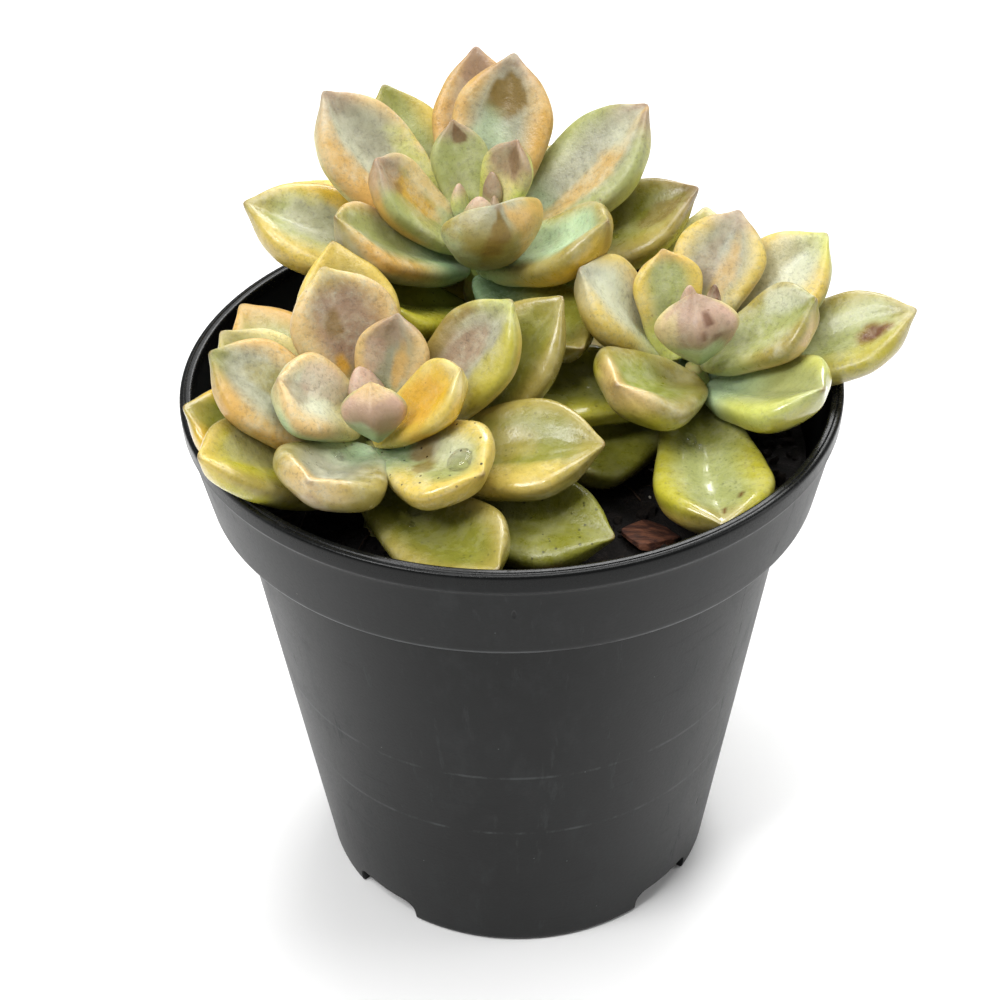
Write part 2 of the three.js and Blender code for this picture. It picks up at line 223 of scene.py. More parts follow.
def leaf_finish(name, mottle, powder, shine):
    """Firm flesh under a powdery bloom, which is rubbed off and glossy in places."""
    f = Finish(name)
    tone = f.painted_colour("tone")
    bloom = f.painted("bloom")
    wet = f.painted("wet")
    grit = f.painted("grit")
    clouds = f.noise(5, 6, 0.62)
    patches = f.noise(1.6, 6, 0.6, shift=3.1)
    grain = f.noise(0.28, 3, 0.6)
    stipple = f.noise(0.62, 4, 0.75, shift=6.3)
    speckled = (stipple.step(0.5, 0.62) * -0.34 + (grain - 0.5) * 0.3) * (bloom * 0.7 + 0.3)
    shade = (clouds - 0.5) * mottle * 0.5 + (patches - 0.5) * (0.9 * mottle) + speckled + 1.04
    grey = f.node("CombineColor", None, {0: shade, 1: shade, 2: shade}).outputs[0]
    shaded = f.blend(1, tone, grey, "MULTIPLY")
    worn = (patches * 0.4 + clouds * 0.45 + stipple * 0.15).step(0.42, 0.62)
    powdered = worn * bloom * powder * (grain * 0.5 + 0.6)
    dusted = f.blend(powdered, shaded, colour("c9c8b0"))
    distance, chance = f.specks(2.4)
    freckles = distance.step(0.1, 0.05) * chance.step(0.8, 0.83) * 0.5
    freckled = f.blend(freckles, dusted, colour("7d5a3c"))
    dots, here = f.specks(0.85)
    crumbs = dots.step(0.26, 0.2) * here.step(0.8, 0.82) * grit
    skin = f.blend(crumbs, freckled, colour("1d1712"))
    gloss = 0.5 - shine + (patches - 0.5) * 0.25 + powdered * 0.25 - (1 - bloom) * 0.1
    relief = (patches - 0.5) * 0.7 + (clouds - 0.5) * 0.6 + (grain - 0.5) * 0.22 + crumbs * 0.4
    return f.finish(
        Base_Color=skin,
        Roughness=gloss * (1 - wet) + wet * 0.14,
        Coat_Weight=wet * 0.8,
        Coat_Roughness=0.04,
        Subsurface_Weight=0.16,
        Subsurface_Radius=(1.0, 0.75, 0.3),
        Subsurface_Scale=2.2 * MM,
        Normal=f.bump(relief * (1 - wet * 0.7), 0.22),
    )


def pot_finish():
    """Charcoal polypropylene: semi-matt, with dust, scuffs and a few small nicks, and a painted
    highlight along the step under the band.
    """
    f = Finish("charcoal_plastic")
    height = f.height()
    haze = f.noise(26, 5, 0.6)
    film = f.noise(7, 7, 0.7, stretch=(1, 1, 0.45), shift=1.7)
    grain = f.noise(0.5, 3, 0.6)
    scuffs = f.noise(2.2, 5, 0.65, stretch=(1, 1, 0.12), shift=4.4)
    rubs = f.noise(3.5, 4, 0.6, stretch=(0.15, 0.15, 1.6), shift=2.6)
    spots, chance = f.specks(6, stretch=(1, 1, 0.35))
    nicks = spots.step(0.075, 0.04) * chance.step(0.8, 0.82)
    dots, here = f.specks(2.6)
    lint = dots.step(0.05, 0.025) * here.step(0.88, 0.9)
    rim = height.step(BAND_BOTTOM - 1, BAND_BOTTOM + 1)
    lip = height.step(POT_HEIGHT - 3, POT_HEIGHT - 1.6)
    rings = sum((height - ring).size().step(0.4, 0.1) for ring in MOULD_RINGS)
    # Painted highlight: a thin pale line just above the band's lower edge, where the step catches the
    # light.
    step_highlight = (height - BAND_BOTTOM - 0.5).size().step(0.4, 0.15)
    dust = film.step(0.48, 0.72) * 0.14 + haze.step(0.42, 0.75) * 0.06 + scuffs.step(0.6, 0.72) * 0.2
    wear = rings * film.step(0.42, 0.6) * 0.22 + step_highlight * haze.step(0.3, 0.6) * 0.5 + lint * 0.5
    plastic = f.blend(haze, colour("090a0a"), colour("111212"))
    rimmed = f.blend(rim * 0.5, plastic, colour("0b0c0c"))
    lipped = f.blend(lip * 0.75, rimmed, colour("0d0e0e"))
    dusty = f.blend(dust * (1 - lip * 0.6), lipped, colour("484b4c"))
    # Pale grey for the lines at the mould rings and the specks of lint, and for the painted highlight
    # along the step.
    worn = f.blend(wear, dusty, colour("66696a"))
    nicked = f.blend(nicks, worn, colour("040404"))
    gloss = 0.38 + dust * 0.6 - lip * 0.12 + (grain - 0.5) * 0.12 + rubs.step(0.62, 0.7) * 0.04
    relief = (grain - 0.5) * 0.22 - nicks * 1.4 + scuffs.step(0.62, 0.72) * 0.18 + lint * 0.5
    return f.finish(
        Base_Color=nicked,
        Roughness=gloss,
        Specular_IOR_Level=0.18,
        Normal=f.bump(relief, 0.06),
    )


def soil_finish(name, dark, light, moisture):
    """Damp peat: nearly black, crumbly, with a few moist glints."""
    f = Finish(name)
    lumps = f.noise(2.4, 7, 0.7)
    grain = f.noise(0.45, 5, 0.7, shift=2.2)
    fibres = f.noise(1.1, 5, 0.6, stretch=(0.35, 1, 1), shift=5.2)
    body = f.blend(lumps.step(0.35, 0.75), colour(dark), colour(light))
    strands = f.blend(fibres.step(0.63, 0.72) * 0.6, body, colour("3a2a1c"))
    motes = f.blend(grain.step(0.7, 0.76) * 0.5, strands, colour("5b4a36"))
    damp = lumps.step(0.5, 0.68)
    return f.finish(
        Base_Color=motes,
        Roughness=0.95 - damp * moisture,
        Normal=f.bump(lumps + grain * 0.6, 0.7),
    )


def bark_finish(name, dark, light):
    """Weathered wood: long grain, darker in its cracks."""
    f = Finish(name)
    grain = f.noise(0.9, 6, 0.65, stretch=(0.25, 1, 1))
    blotches = f.noise(3, 4, 0.6, shift=1.3)
    wood = f.blend(grain.step(0.38, 0.66), colour(dark), colour(light))
    aged = f.blend(blotches.step(0.5, 0.75) * 0.5, wood, colour("2a1a12"))
    relief = grain + blotches * 0.4
    return f.finish(Base_Color=aged, Roughness=0.75 + (grain - 0.5) * 0.3, Normal=f.bump(relief, 0.4))


def mineral_finish():
    """White perlite, pitted and a little stained by the peat."""
    f = Finish("perlite_white")
    pits = f.noise(0.35, 4, 0.6)
    stains = f.noise(1.4, 4, 0.6, shift=2.5)
    stone = f.blend(stains.step(0.4, 0.7), colour("b9b4a8"), colour("716657"))
    return f.finish(Base_Color=stone, Roughness=0.9 - pits * 0.1, Normal=f.bump(pits, 0.25))


def stem_finish():
    """Green fleshy stem with pale corky rings where leaves have dropped."""
    f = Finish("stem_skin")
    rings = f.noise(1.6, 4, 0.6, stretch=(0.3, 0.3, 1.8))
    patches = f.noise(2.6, 5, 0.6, shift=2)
    flesh = f.blend(patches.step(0.35, 0.7), colour("8b9a4c"), colour("a9a36a"))
    corky = f.blend(rings.step(0.52, 0.66) * 0.8, flesh, colour("a08358"))
    relief = rings + patches * 0.5
    return f.finish(Base_Color=corky, Roughness=0.55 + rings * 0.2, Normal=f.bump(relief, 0.35))


def water_finish():
    """Clear water drops."""
    f = Finish("clear_water")
    swirl = f.noise(2, 2, 0.5)
    return f.finish(
        Base_Color=(1, 1, 1, 1),
        Roughness=0.02 * swirl,
        IOR=1.33,
        Transmission_Weight=1.0,
    )


def floor_finish():
    """A plain pale table, very slightly clouded."""
    f = Finish("pale_table")
    clouds = f.noise(180, 3, 0.5)
    table = f.blend(clouds, colour("f6f6f5"), colour("fafafa"))
    return f.finish(Base_Color=table, Roughness=0.6 + clouds * 0.05)


# ---------------------------------------------------------------- meshes


def mesh_object(name, mesh, material):
    """A finished piece: a smooth-shaded object at the origin with its place in its mesh."""
    piece = bpy.data.objects.new(name, mesh)
    bpy.context.scene.collection.objects.link(piece)
    mesh.materials.clear()
    mesh.materials.append(material)
    mesh.shade_smooth()
    return piece


def object_from(name, shape, material):
    """Ends a bmesh as a piece, with its doubles merged and its faces turned outwards."""
    bmesh.ops.remove_doubles(shape, verts=shape.verts, dist=MERGE)
    bmesh.ops.recalc_face_normals(shape, faces=shape.faces)
    mesh = bpy.data.meshes.new(name)
    shape.to_mesh(mesh)
    shape.free()
    return mesh_object(name, mesh, material)


def apply_modifiers(piece):
    """Makes a piece's modifiers part of its mesh."""
    graph = bpy.context.evaluated_depsgraph_get()
    mesh = bpy.data.meshes.new_from_object(piece.evaluated_get(graph), depsgraph=graph)
    piece.modifiers.clear()
    piece.data = mesh


def subdivide(piece, levels):
    """Rounds a piece's mesh with a Subdivision Surface."""
    rounding = piece.modifiers.new("rounding", "SUBSURF")
    rounding.levels = levels
    rounding.render_levels = levels
    return rounding


def belongs(piece, slot, *replaced):
    """Puts a piece on the plant's one body and hides the CAD nodes it stands for."""
    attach(piece, "root")
    if replaced:
        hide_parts(*replaced)


def spun(profile, steps):
    """A closed body turned about the Z axis from a profile of (radius, height) in millimetres."""
    shape = bmesh.new()
    points = [shape.verts.new((radius * MM, 0, height * MM)) for radius, height in profile]
    line = [shape.edges.new(pair) for pair in zip(points, points[1:])]
    bmesh.ops.spin(
        shape,
        geom=points + line,
        cent=(0, 0, 0),
        axis=(0, 0, 1),
        angle=FULL_TURN,
        steps=steps,
        use_merge=True,
    )
    bmesh.ops.remove_doubles(shape, verts=shape.verts, dist=MERGE)
    return shape


def rounded(corners, segments=5):
    """A profile of (radius, height, fillet) corners with each fillet drawn as an arc."""
    points = []
    for index, (radius, height, fillet) in enumerate(corners):
        here = Vector((radius, height))
        if not fillet:
            points.append(tuple(here))
            continue
        before = (Vector(corners[index - 1][:2]) - here).normalized()
        after = (Vector(corners[index + 1][:2]) - here).normalized()
        for step in range(segments + 1):
            share = step / segments
            start = here + before * fillet * (1 - share) ** 2
            points.append(tuple(start + after * fillet * share**2))
    return points


# ---------------------------------------------------------------- pot


def straight(start, end, margin=0.6):
    """Two points near the ends of a straight stretch of wall, which keep its shading flat."""
    share = margin / math.dist(start, end)
    return [
        (start[0] + (end[0] - start[0]) * at, start[1] + (end[1] - start[1]) * at, 0)
        for at in (2.5 * share, 1 - 2.5 * share)
    ]


def pot_outline():
    """Up the outside, over the lip and down the inside."""
    lip_inner = RIM_RADIUS - POT_WALL - LIP_SWELL
    return rounded(
        [
            (0, 0.6, 0),
            (FOOT_RADIUS - 9, 0.6, 0.4),
            (FOOT_RADIUS - 9.6, 0, 0.4),
            (FOOT_RADIUS, 0, 0.9),
            *straight((FOOT_RADIUS, 0), (BODY_TOP_RADIUS, BAND_BOTTOM)),
            (BODY_TOP_RADIUS, BAND_BOTTOM, 0.5),
            (BAND_RADIUS, BAND_BOTTOM, 0.9),
            *straight((BAND_RADIUS, BAND_BOTTOM), (RIM_RADIUS - 0.55, POT_HEIGHT - 3.4)),
            (RIM_RADIUS - 0.55, POT_HEIGHT - 3.4, 0.4),
            (RIM_RADIUS - 0.1, POT_HEIGHT - 2.9, 0.3),
            (RIM_RADIUS, POT_HEIGHT, 0.7),
            (RIM_RADIUS - 0.8, POT_HEIGHT, 0),
            (RIM_RADIUS - 0.95, POT_HEIGHT - 0.14, 0),
            (RIM_RADIUS - 1.1, POT_HEIGHT, 0),
            (lip_inner, POT_HEIGHT, 0.5),
            (lip_inner + 0.1, POT_HEIGHT - 2.2, 0.5),
            (BAND_RADIUS - POT_WALL, BAND_BOTTOM + POT_WALL, 0.5),
            (BODY_TOP_RADIUS - POT_WALL, BAND_BOTTOM + POT_WALL, 0.5),
            (FOOT_RADIUS - POT_WALL, POT_FLOOR, 1.2),
            (0, POT_FLOOR, 0),
        ]
    )


def is_radial(edge):
    """Whether a block's edge runs along X at its upper side."""
    first, second = (v.co for v in edge.verts)
    return abs(first.x - second.x) > MM and first.z > 0 and abs(first.y - second.y) < MERGE


def notch_block():
    """One drain notch: a block through the wall, with round upper corners."""
    block = bmesh.new()
    bmesh.ops.create_cube(block, size=1)
    depth = FOOT_RADIUS + 4 - NOTCH_INNER
    bmesh.ops.scale(block, vec=Vector((depth, NOTCH_WIDTH, 2 * NOTCH_HEIGHT)) * MM, verts=block.verts)
    bmesh.ops.bevel(
        block,
        geom=[edge for edge in block.edges if is_radial(edge)],
        offset=NOTCH_CORNER * MM,
        segments=6,
        profile=0.5,
        affect="EDGES",
        material=-1,
    )
    bmesh.ops.translate(block, vec=((NOTCH_INNER + depth / 2) * MM, 0, 0), verts=block.verts)
    return block


def notch_cutter():
    """The four drain notches in one mesh."""
    block = bpy.data.meshes.new("notch")
    shape = notch_block()
    shape.to_mesh(block)
    shape.free()
    cutter = bmesh.new()
    for angle in NOTCH_ANGLES:
        turn = Matrix.Rotation(math.radians(angle), 4, "Z")
        block.transform(turn)
        cutter.from_mesh(block)
        block.transform(turn.inverted())
    return cutter


def make_pot(material):
    """The pot, turned from its profile, with its drain notches cut out."""
    pot = object_from("nursery_pot", spun(pot_outline(), POT_STEPS), material)
    cutter = object_from("notch_cutter", notch_cutter(), material)
    cut = pot.modifiers.new("notches", "BOOLEAN")
    cut.operation = "DIFFERENCE"
    cut.solver = "EXACT"
    cut.object = cutter
    apply_modifiers(pot)
    bpy.data.objects.remove(cutter)
    pot.data.shade_smooth()
    pot.data.set_sharp_from_angle(angle=math.radians(28))
    belongs(pot, "pot", "pot")


# ---------------------------------------------------------------- soil


def soil_height(x, y):
    """The soil's surface in millimetres: a low crown with clods and hollows."""
    place = Vector((x, y, 0)) * MM
    crown = 1.2 * (1 - (x * x + y * y) / SOIL_RADIUS**2)
    clods = 0.9 * ripple(place, 14) + 0.6 * ripple(place, 6, 3) + 0.35 * ripple(place, 2.6, 7)
    return SOIL_LEVEL - 0.9 + crown + clods * 0.8


def make_soil(material):
    """The body of the potting mix, which fills the pot under its uneven surface."""
    top = [(SOIL_RADIUS * step / SOIL_RINGS, SOIL_LEVEL) for step in range(SOIL_RINGS + 1)]
    below = [
        (SOIL_RADIUS - 0.3, SOIL_UNDERSIDE),
        (BODY_TOP_RADIUS - POT_WALL - 0.6, SOIL_UNDERSIDE),
        (FOOT_RADIUS - POT_WALL - 0.8, POT_FLOOR + 0.5),
        (0, POT_FLOOR + 0.5),
    ]
    shape = spun(top + below, SOIL_STEPS)
    for vert in shape.verts:
        if vert.co.z > (SOIL_LEVEL - 0.1) * MM:
            vert.co.z = soil_height(vert.co.x / MM, vert.co.y / MM) * MM
    soil = object_from("potting_mix", shape, material)
    belongs(soil, "soil", "soil")


def lump_meshes(count, flat, draw):
    """A few differently shaped small lumps, one millimetre across."""
    lumps = []
    for _ in range(count):
        shape = bmesh.new()
        bmesh.ops.create_icosphere(shape, subdivisions=1, radius=0.5 * MM)
        stretch = (draw.uniform(0.6, 1.2), draw.uniform(0.7, 1.4), draw.uniform(flat, 1))
        bmesh.ops.scale(shape, vec=stretch, verts=shape.verts)
        for vert in shape.verts:
            vert.co *= 1 + 0.25 * draw.uniform(-1, 1)
        lumps.append(bpy.data.meshes.new("lump"))
        shape.to_mesh(lumps[-1])
        shape.free()
    return lumps


def scatter(shape, count, sizes, draw, flat=0.7):
    """Adds many small lumps to a bmesh, each resting on the soil."""
    lumps = lump_meshes(12, flat, draw)
    for index in range(count):
        radius = (SOIL_RADIUS - 1.5) * math.sqrt(draw.random())
        turn = FULL_TURN * draw.random()
        size = draw.uniform(*sizes) * draw.uniform(0.6, 1)
        x, y = radius * math.cos(turn), radius * math.sin(turn)
        rest = Matrix.Translation(Vector((x, y, soil_height(x, y) + 0.15 * size)) * MM)
        axis = Vector((draw.random(), draw.random(), 1))
        place = rest @ Matrix.Rotation(FULL_TURN * draw.random(), 4, axis) @ Matrix.Scale(size, 4)
        lump = lumps[index % len(lumps)]
        lump.transform(place)
        shape.from_mesh(lump)
        lump.transform(place.inverted())
    for lump in lumps:
        bpy.data.meshes.remove(lump)


def make_crumbs(material):
    """Loose crumbs of peat, small ones and a few clods."""
    draw = random.Random(11)
    shape = bmesh.new()
    scatter(shape, 1500, (0.7, 2.2), draw)
    scatter(shape, 110, (2.4, 4.2), draw, flat=0.5)
    crumbs = object_from("peat_crumbs", shape, material)
    crumbs.data.set_sharp_from_angle(angle=math.radians(35))
    belongs(crumbs, "soil", "soil")


def make_perlite(material):
    """A few pale grains in the mix."""
    draw = random.Random(5)
    shape = bmesh.new()
    scatter(shape, 26, (0.7, 1.9), draw)
    perlite = object_from("perlite_grains", shape, material)
    belongs(perlite, "soil", "soil")


def strand(shape, start, turn, length, thickness, draw):
    """A bent twig or fibre lying on the soil, as a chain of short tapered boxes."""
    heading = math.radians(turn)
    x, y = start
    pieces = max(3, int(length / 1.6))
    ring = None
    for index in range(pieces + 1):
        share = index / pieces
        radius = thickness / 2 * (1 - 0.6 * share)
        height = soil_height(x, y) + radius + 0.4 * math.sin(math.pi * share) * draw.random() + 0.25
        centre = Vector((x, y, height)) * MM
        side = Vector((-math.sin(heading), math.cos(heading), 0))
        loop = []
        for corner in range(5):
            angle = FULL_TURN * corner / 5
            offset = side * math.cos(angle) + Vector((0, 0, 1)) * math.sin(angle)
            loop.append(shape.verts.new(centre + offset * radius * MM))
        edges = [shape.edges.new((loop[i], loop[i - 1])) for i in range(5)]
        if ring:
            bmesh.ops.bridge_loops(shape, edges=ring + edges)
        else:
            shape.faces.new(loop)
        ring = edges
        last = loop
        heading += draw.uniform(-0.3, 0.3)
        x += length / pieces * math.cos(heading)
        y += length / pieces * math.sin(heading)
        inside = (SOIL_RADIUS - 1.2) / max(SOIL_RADIUS - 1.2, math.hypot(x, y))
        x, y = x * inside, y * inside
    shape.faces.new(last)


def make_strands(name, count, lengths, thickness, seed, material, near=None):
    """Twigs or fibres scattered on the soil, or near one place on it."""
    draw = random.Random(seed)
    shape = bmesh.new()
    for _ in range(count):
        radius = (SOIL_RADIUS - 4) * math.sqrt(draw.random())
        turn = FULL_TURN * draw.random()
        start = (radius * math.cos(turn), radius * math.sin(turn))
        if near:
            start = (near[0] + draw.uniform(-3, 3), near[1] + draw.uniform(-3, 3))
        size = draw.uniform(0.6, 1) * thickness
        strand(shape, start, draw.uniform(0, 360), draw.uniform(*lengths), size, draw)
    strands = object_from(name, shape, material)
    belongs(strands, "soil", "soil")


# Chips of bark: place, size, turn and tilt in degrees, and the seed of their wear.
CHIPS = [
    ((20, -26.5), (8, 6, 1.8), 35, 16, 2),
    ((30, -30), (5, 3, 1.6), 70, -8, 4),
    ((6, -41), (4.5, 2.6, 1.3), -30, 5, 6),
    ((-8, 40), (8, 4, 2), 40, 6, 8),
]


def make_chip(name, place, size, turn, tilt, seed, material):
    """A broken chip of bark, thicker in its middle and ragged at its ends."""
    shape = bmesh.new()
    bmesh.ops.create_cube(shape, size=1)
    bmesh.ops.subdivide_edges(shape, edges=shape.edges, cuts=5, use_grid_fill=True)
    bmesh.ops.scale(shape, vec=Vector(size) * MM, verts=shape.verts)
    for vert in shape.verts:
        end = abs(vert.co.x) / (size[0] / 2 * MM)
        vert.co.z *= 1 - 0.5 * end**2
        vert.co.y *= 1 - 0.25 * end**3
        lumps = ((1.6, seed), (1.6, seed + 5), (1.3, seed + 9))
        wear = Vector([ripple(vert.co, *lump) for lump in lumps])
        vert.co += wear * 0.24 * size[2] * MM
    lean = Matrix.Rotation(math.radians(turn), 3, "Z") @ Matrix.Rotation(math.radians(tilt), 3, "Y")
    bmesh.ops.rotate(shape, matrix=lean, verts=shape.verts)
    x, y = place
    rest = soil_height(x, y) + 0.45 * size[2]
    bmesh.ops.translate(shape, vec=Vector((x, y, rest)) * MM, verts=shape.verts)
    chip = object_from(name, shape, material)
    subdivide(chip, 1)
    belongs(chip, "soil", "soil")


# ---------------------------------------------------------------- leaves

# The plant's colours, by the names that the tables use.
TINTS = {
    name: colour(code)
    for name, code in {
        "mint": "b0c8a0",
        "teal": "86a27a",
        "frost": "c6c9ae",
        "slate": "989780",
        "sage": "9ba063",
        "fern": "868d35",
        "olive": "7c7c2c",
        "khaki": "998b44",
        "pear": "b9bd60",
        "lime": "b3ac34",
        "straw": "c8b054",
        "gold": "d4ac26",
        "amber": "c6962c",
        "apricot": "c69e54",
        "peach": "caac72",
        "cream": "d2c686",
        "rose": "ba9a86",
        "mauve": "997f68",
        "umber": "6f5336",
        "bronze": "7a6229",
        "rust": "5c3216",
        # Painted shade: the deep olive that darkens the lower side of the keels.
        "painted_keel_shade": "545c2a",
    }.items()
}

# Each leaf's colours: foot, middle of its face, margins, keel and tip; then its bloom, from 0 where it
# is rubbed off to 1, and how wet it is.
LEAF_TONES = {
    "back_core_1": ("pear", "cream", "pear", "pear", "mauve", 0.7, 0),
    "back_core_2": ("pear", "sage", "sage", "sage", "mauve", 0.7, 0),
    "back_inner_1": ("sage", "mint", "khaki", "khaki", "slate", 0.8, 0),
    "back_inner_2": ("sage", "khaki", "sage", "apricot", "mauve", 0.7, 0),
    "back_middle_1": ("pear", "slate", "peach", "cream", "mauve", 0.8, 0),
    "back_middle_2": ("mint", "slate", "apricot", "straw", "mauve", 0.6, 0),
    "back_middle_3": ("mint", "slate", "sage", "pear", "mauve", 0.8, 0),
    "back_middle_4": ("mint", "mint", "khaki", "gold", "khaki", 0.5, 0.35),
    "back_middle_5": ("teal", "sage", "apricot", "slate", "khaki", 0.8, 0.1),
    "back_outer_1": ("straw", "mauve", "apricot", "khaki", "mauve", 0.7, 0),
    "back_outer_2": ("olive", "sage", "straw", "straw", "olive", 0.3, 0),
    "back_outer_3": ("teal", "olive", "khaki", "lime", "umber", 0.4, 0.2),
    "back_outer_4": ("teal", "sage", "straw", "straw", "khaki", 0.8, 0.15),
    "back_outer_5": ("lime", "straw", "gold", "gold", "straw", 0.3, 0.1),
    "back_outer_6": ("fern", "olive", "lime", "lime", "lime", 0.1, 0.6),
    "back_outer_7": ("teal", "olive", "olive", "olive", "khaki", 0.2, 0.2),
    "left_core_1": ("mint", "mint", "sage", "rose", "peach", 0.8, 0),
    "left_inner_1": ("sage", "slate", "peach", "peach", "mauve", 0.7, 0),
    "left_inner_2": ("cream", "frost", "peach", "mint", "peach", 0.9, 0),
    "left_inner_3": ("straw", "gold", "straw", "gold", "cream", 0.25, 0.5),
    "left_middle_1": ("sage", "mauve", "peach", "peach", "straw", 0.9, 0),
    "left_middle_2": ("khaki", "slate", "khaki", "straw", "pear", 0.8, 0.1),
    "left_middle_3": ("mint", "slate", "khaki", "khaki", "peach", 0.9, 0.3),
    "left_middle_4": ("teal", "sage", "straw", "straw", "straw", 0.6, 0.6),
    "left_middle_5": ("sage", "slate", "apricot", "apricot", "olive", 0.8, 0),
    "left_outer_1": ("olive", "khaki", "straw", "straw", "straw", 0.3, 0),
    "left_outer_2": ("teal", "olive", "khaki", "khaki", "khaki", 0.3, 0.45),
    "left_outer_3": ("sage", "sage", "cream", "pear", "khaki", 0.6, 0),
    "left_outer_4": ("olive", "lime", "khaki", "lime", "straw", 0.5, 0.15),
    "left_outer_5": ("teal", "olive", "khaki", "khaki", "khaki", 0.3, 0.35),
    "left_outer_6": ("olive", "olive", "gold", "gold", "khaki", 0.2, 0.6),
    "left_outer_7": ("teal", "sage", "apricot", "amber", "apricot", 0.5, 0),
    "left_outer_8": ("olive", "olive", "khaki", "lime", "khaki", 0.4, 0.3),
    "left_outer_9": ("fern", "olive", "olive", "olive", "olive", 0.4, 0.1),
    "right_core_1": ("mint", "mint", "cream", "rose", "mauve", 0.8, 0),
    "right_inner_1": ("pear", "sage", "straw", "apricot", "apricot", 0.6, 0),
    "right_inner_2": ("pear", "slate", "straw", "peach", "mauve", 0.8, 0),
    "right_inner_3": ("sage", "sage", "khaki", "peach", "olive", 0.9, 0.35),
    "right_inner_4": ("sage", "frost", "straw", "straw", "slate", 0.8, 0.1),
    "right_middle_1": ("mint", "sage", "pear", "lime", "sage", 0.3, 0.75),
    "right_middle_2": ("khaki", "fern", "khaki", "lime", "peach", 0.7, 0.35),
    "right_middle_3": ("fern", "pear", "pear", "pear", "cream", 0.5, 0.5),
    "right_middle_4": ("sage", "frost", "straw", "sage", "pear", 0.8, 0.1),
    "right_outer_1": ("teal", "sage", "khaki", "khaki", "khaki", 0.7, 0.2),
    "right_outer_2": ("fern", "olive", "lime", "lime", "khaki", 0.3, 0.6),
    "right_outer_3": ("olive", "sage", "lime", "straw", "khaki", 0.5, 0.7),
    "right_outer_6": ("olive", "olive", "olive", "olive", "khaki", 0.3, 0.1),
}
# The plump young leaves that close a heart at its front: foot and tip from the heart, and width, in
# millimetres.
YOUNG_FORMS = {
    "left_core_1": ((0.9, -3.4, 0.6), (0.4, -4.2, 11.0), 9.2),
    "right_core_1": ((0.2, -3.6, 0.4), (-1.2, -4.6, 13.0), 12.0),
}
# The tones of the hidden lower leaves.
LOWER_TONES = ("teal", "sage", "straw", "lime", "khaki", 0.4, 0.1)
# Blotches of these colours are bruises, where the bloom is gone.
BARE_TINTS = ("bronze", "rust", "umber")

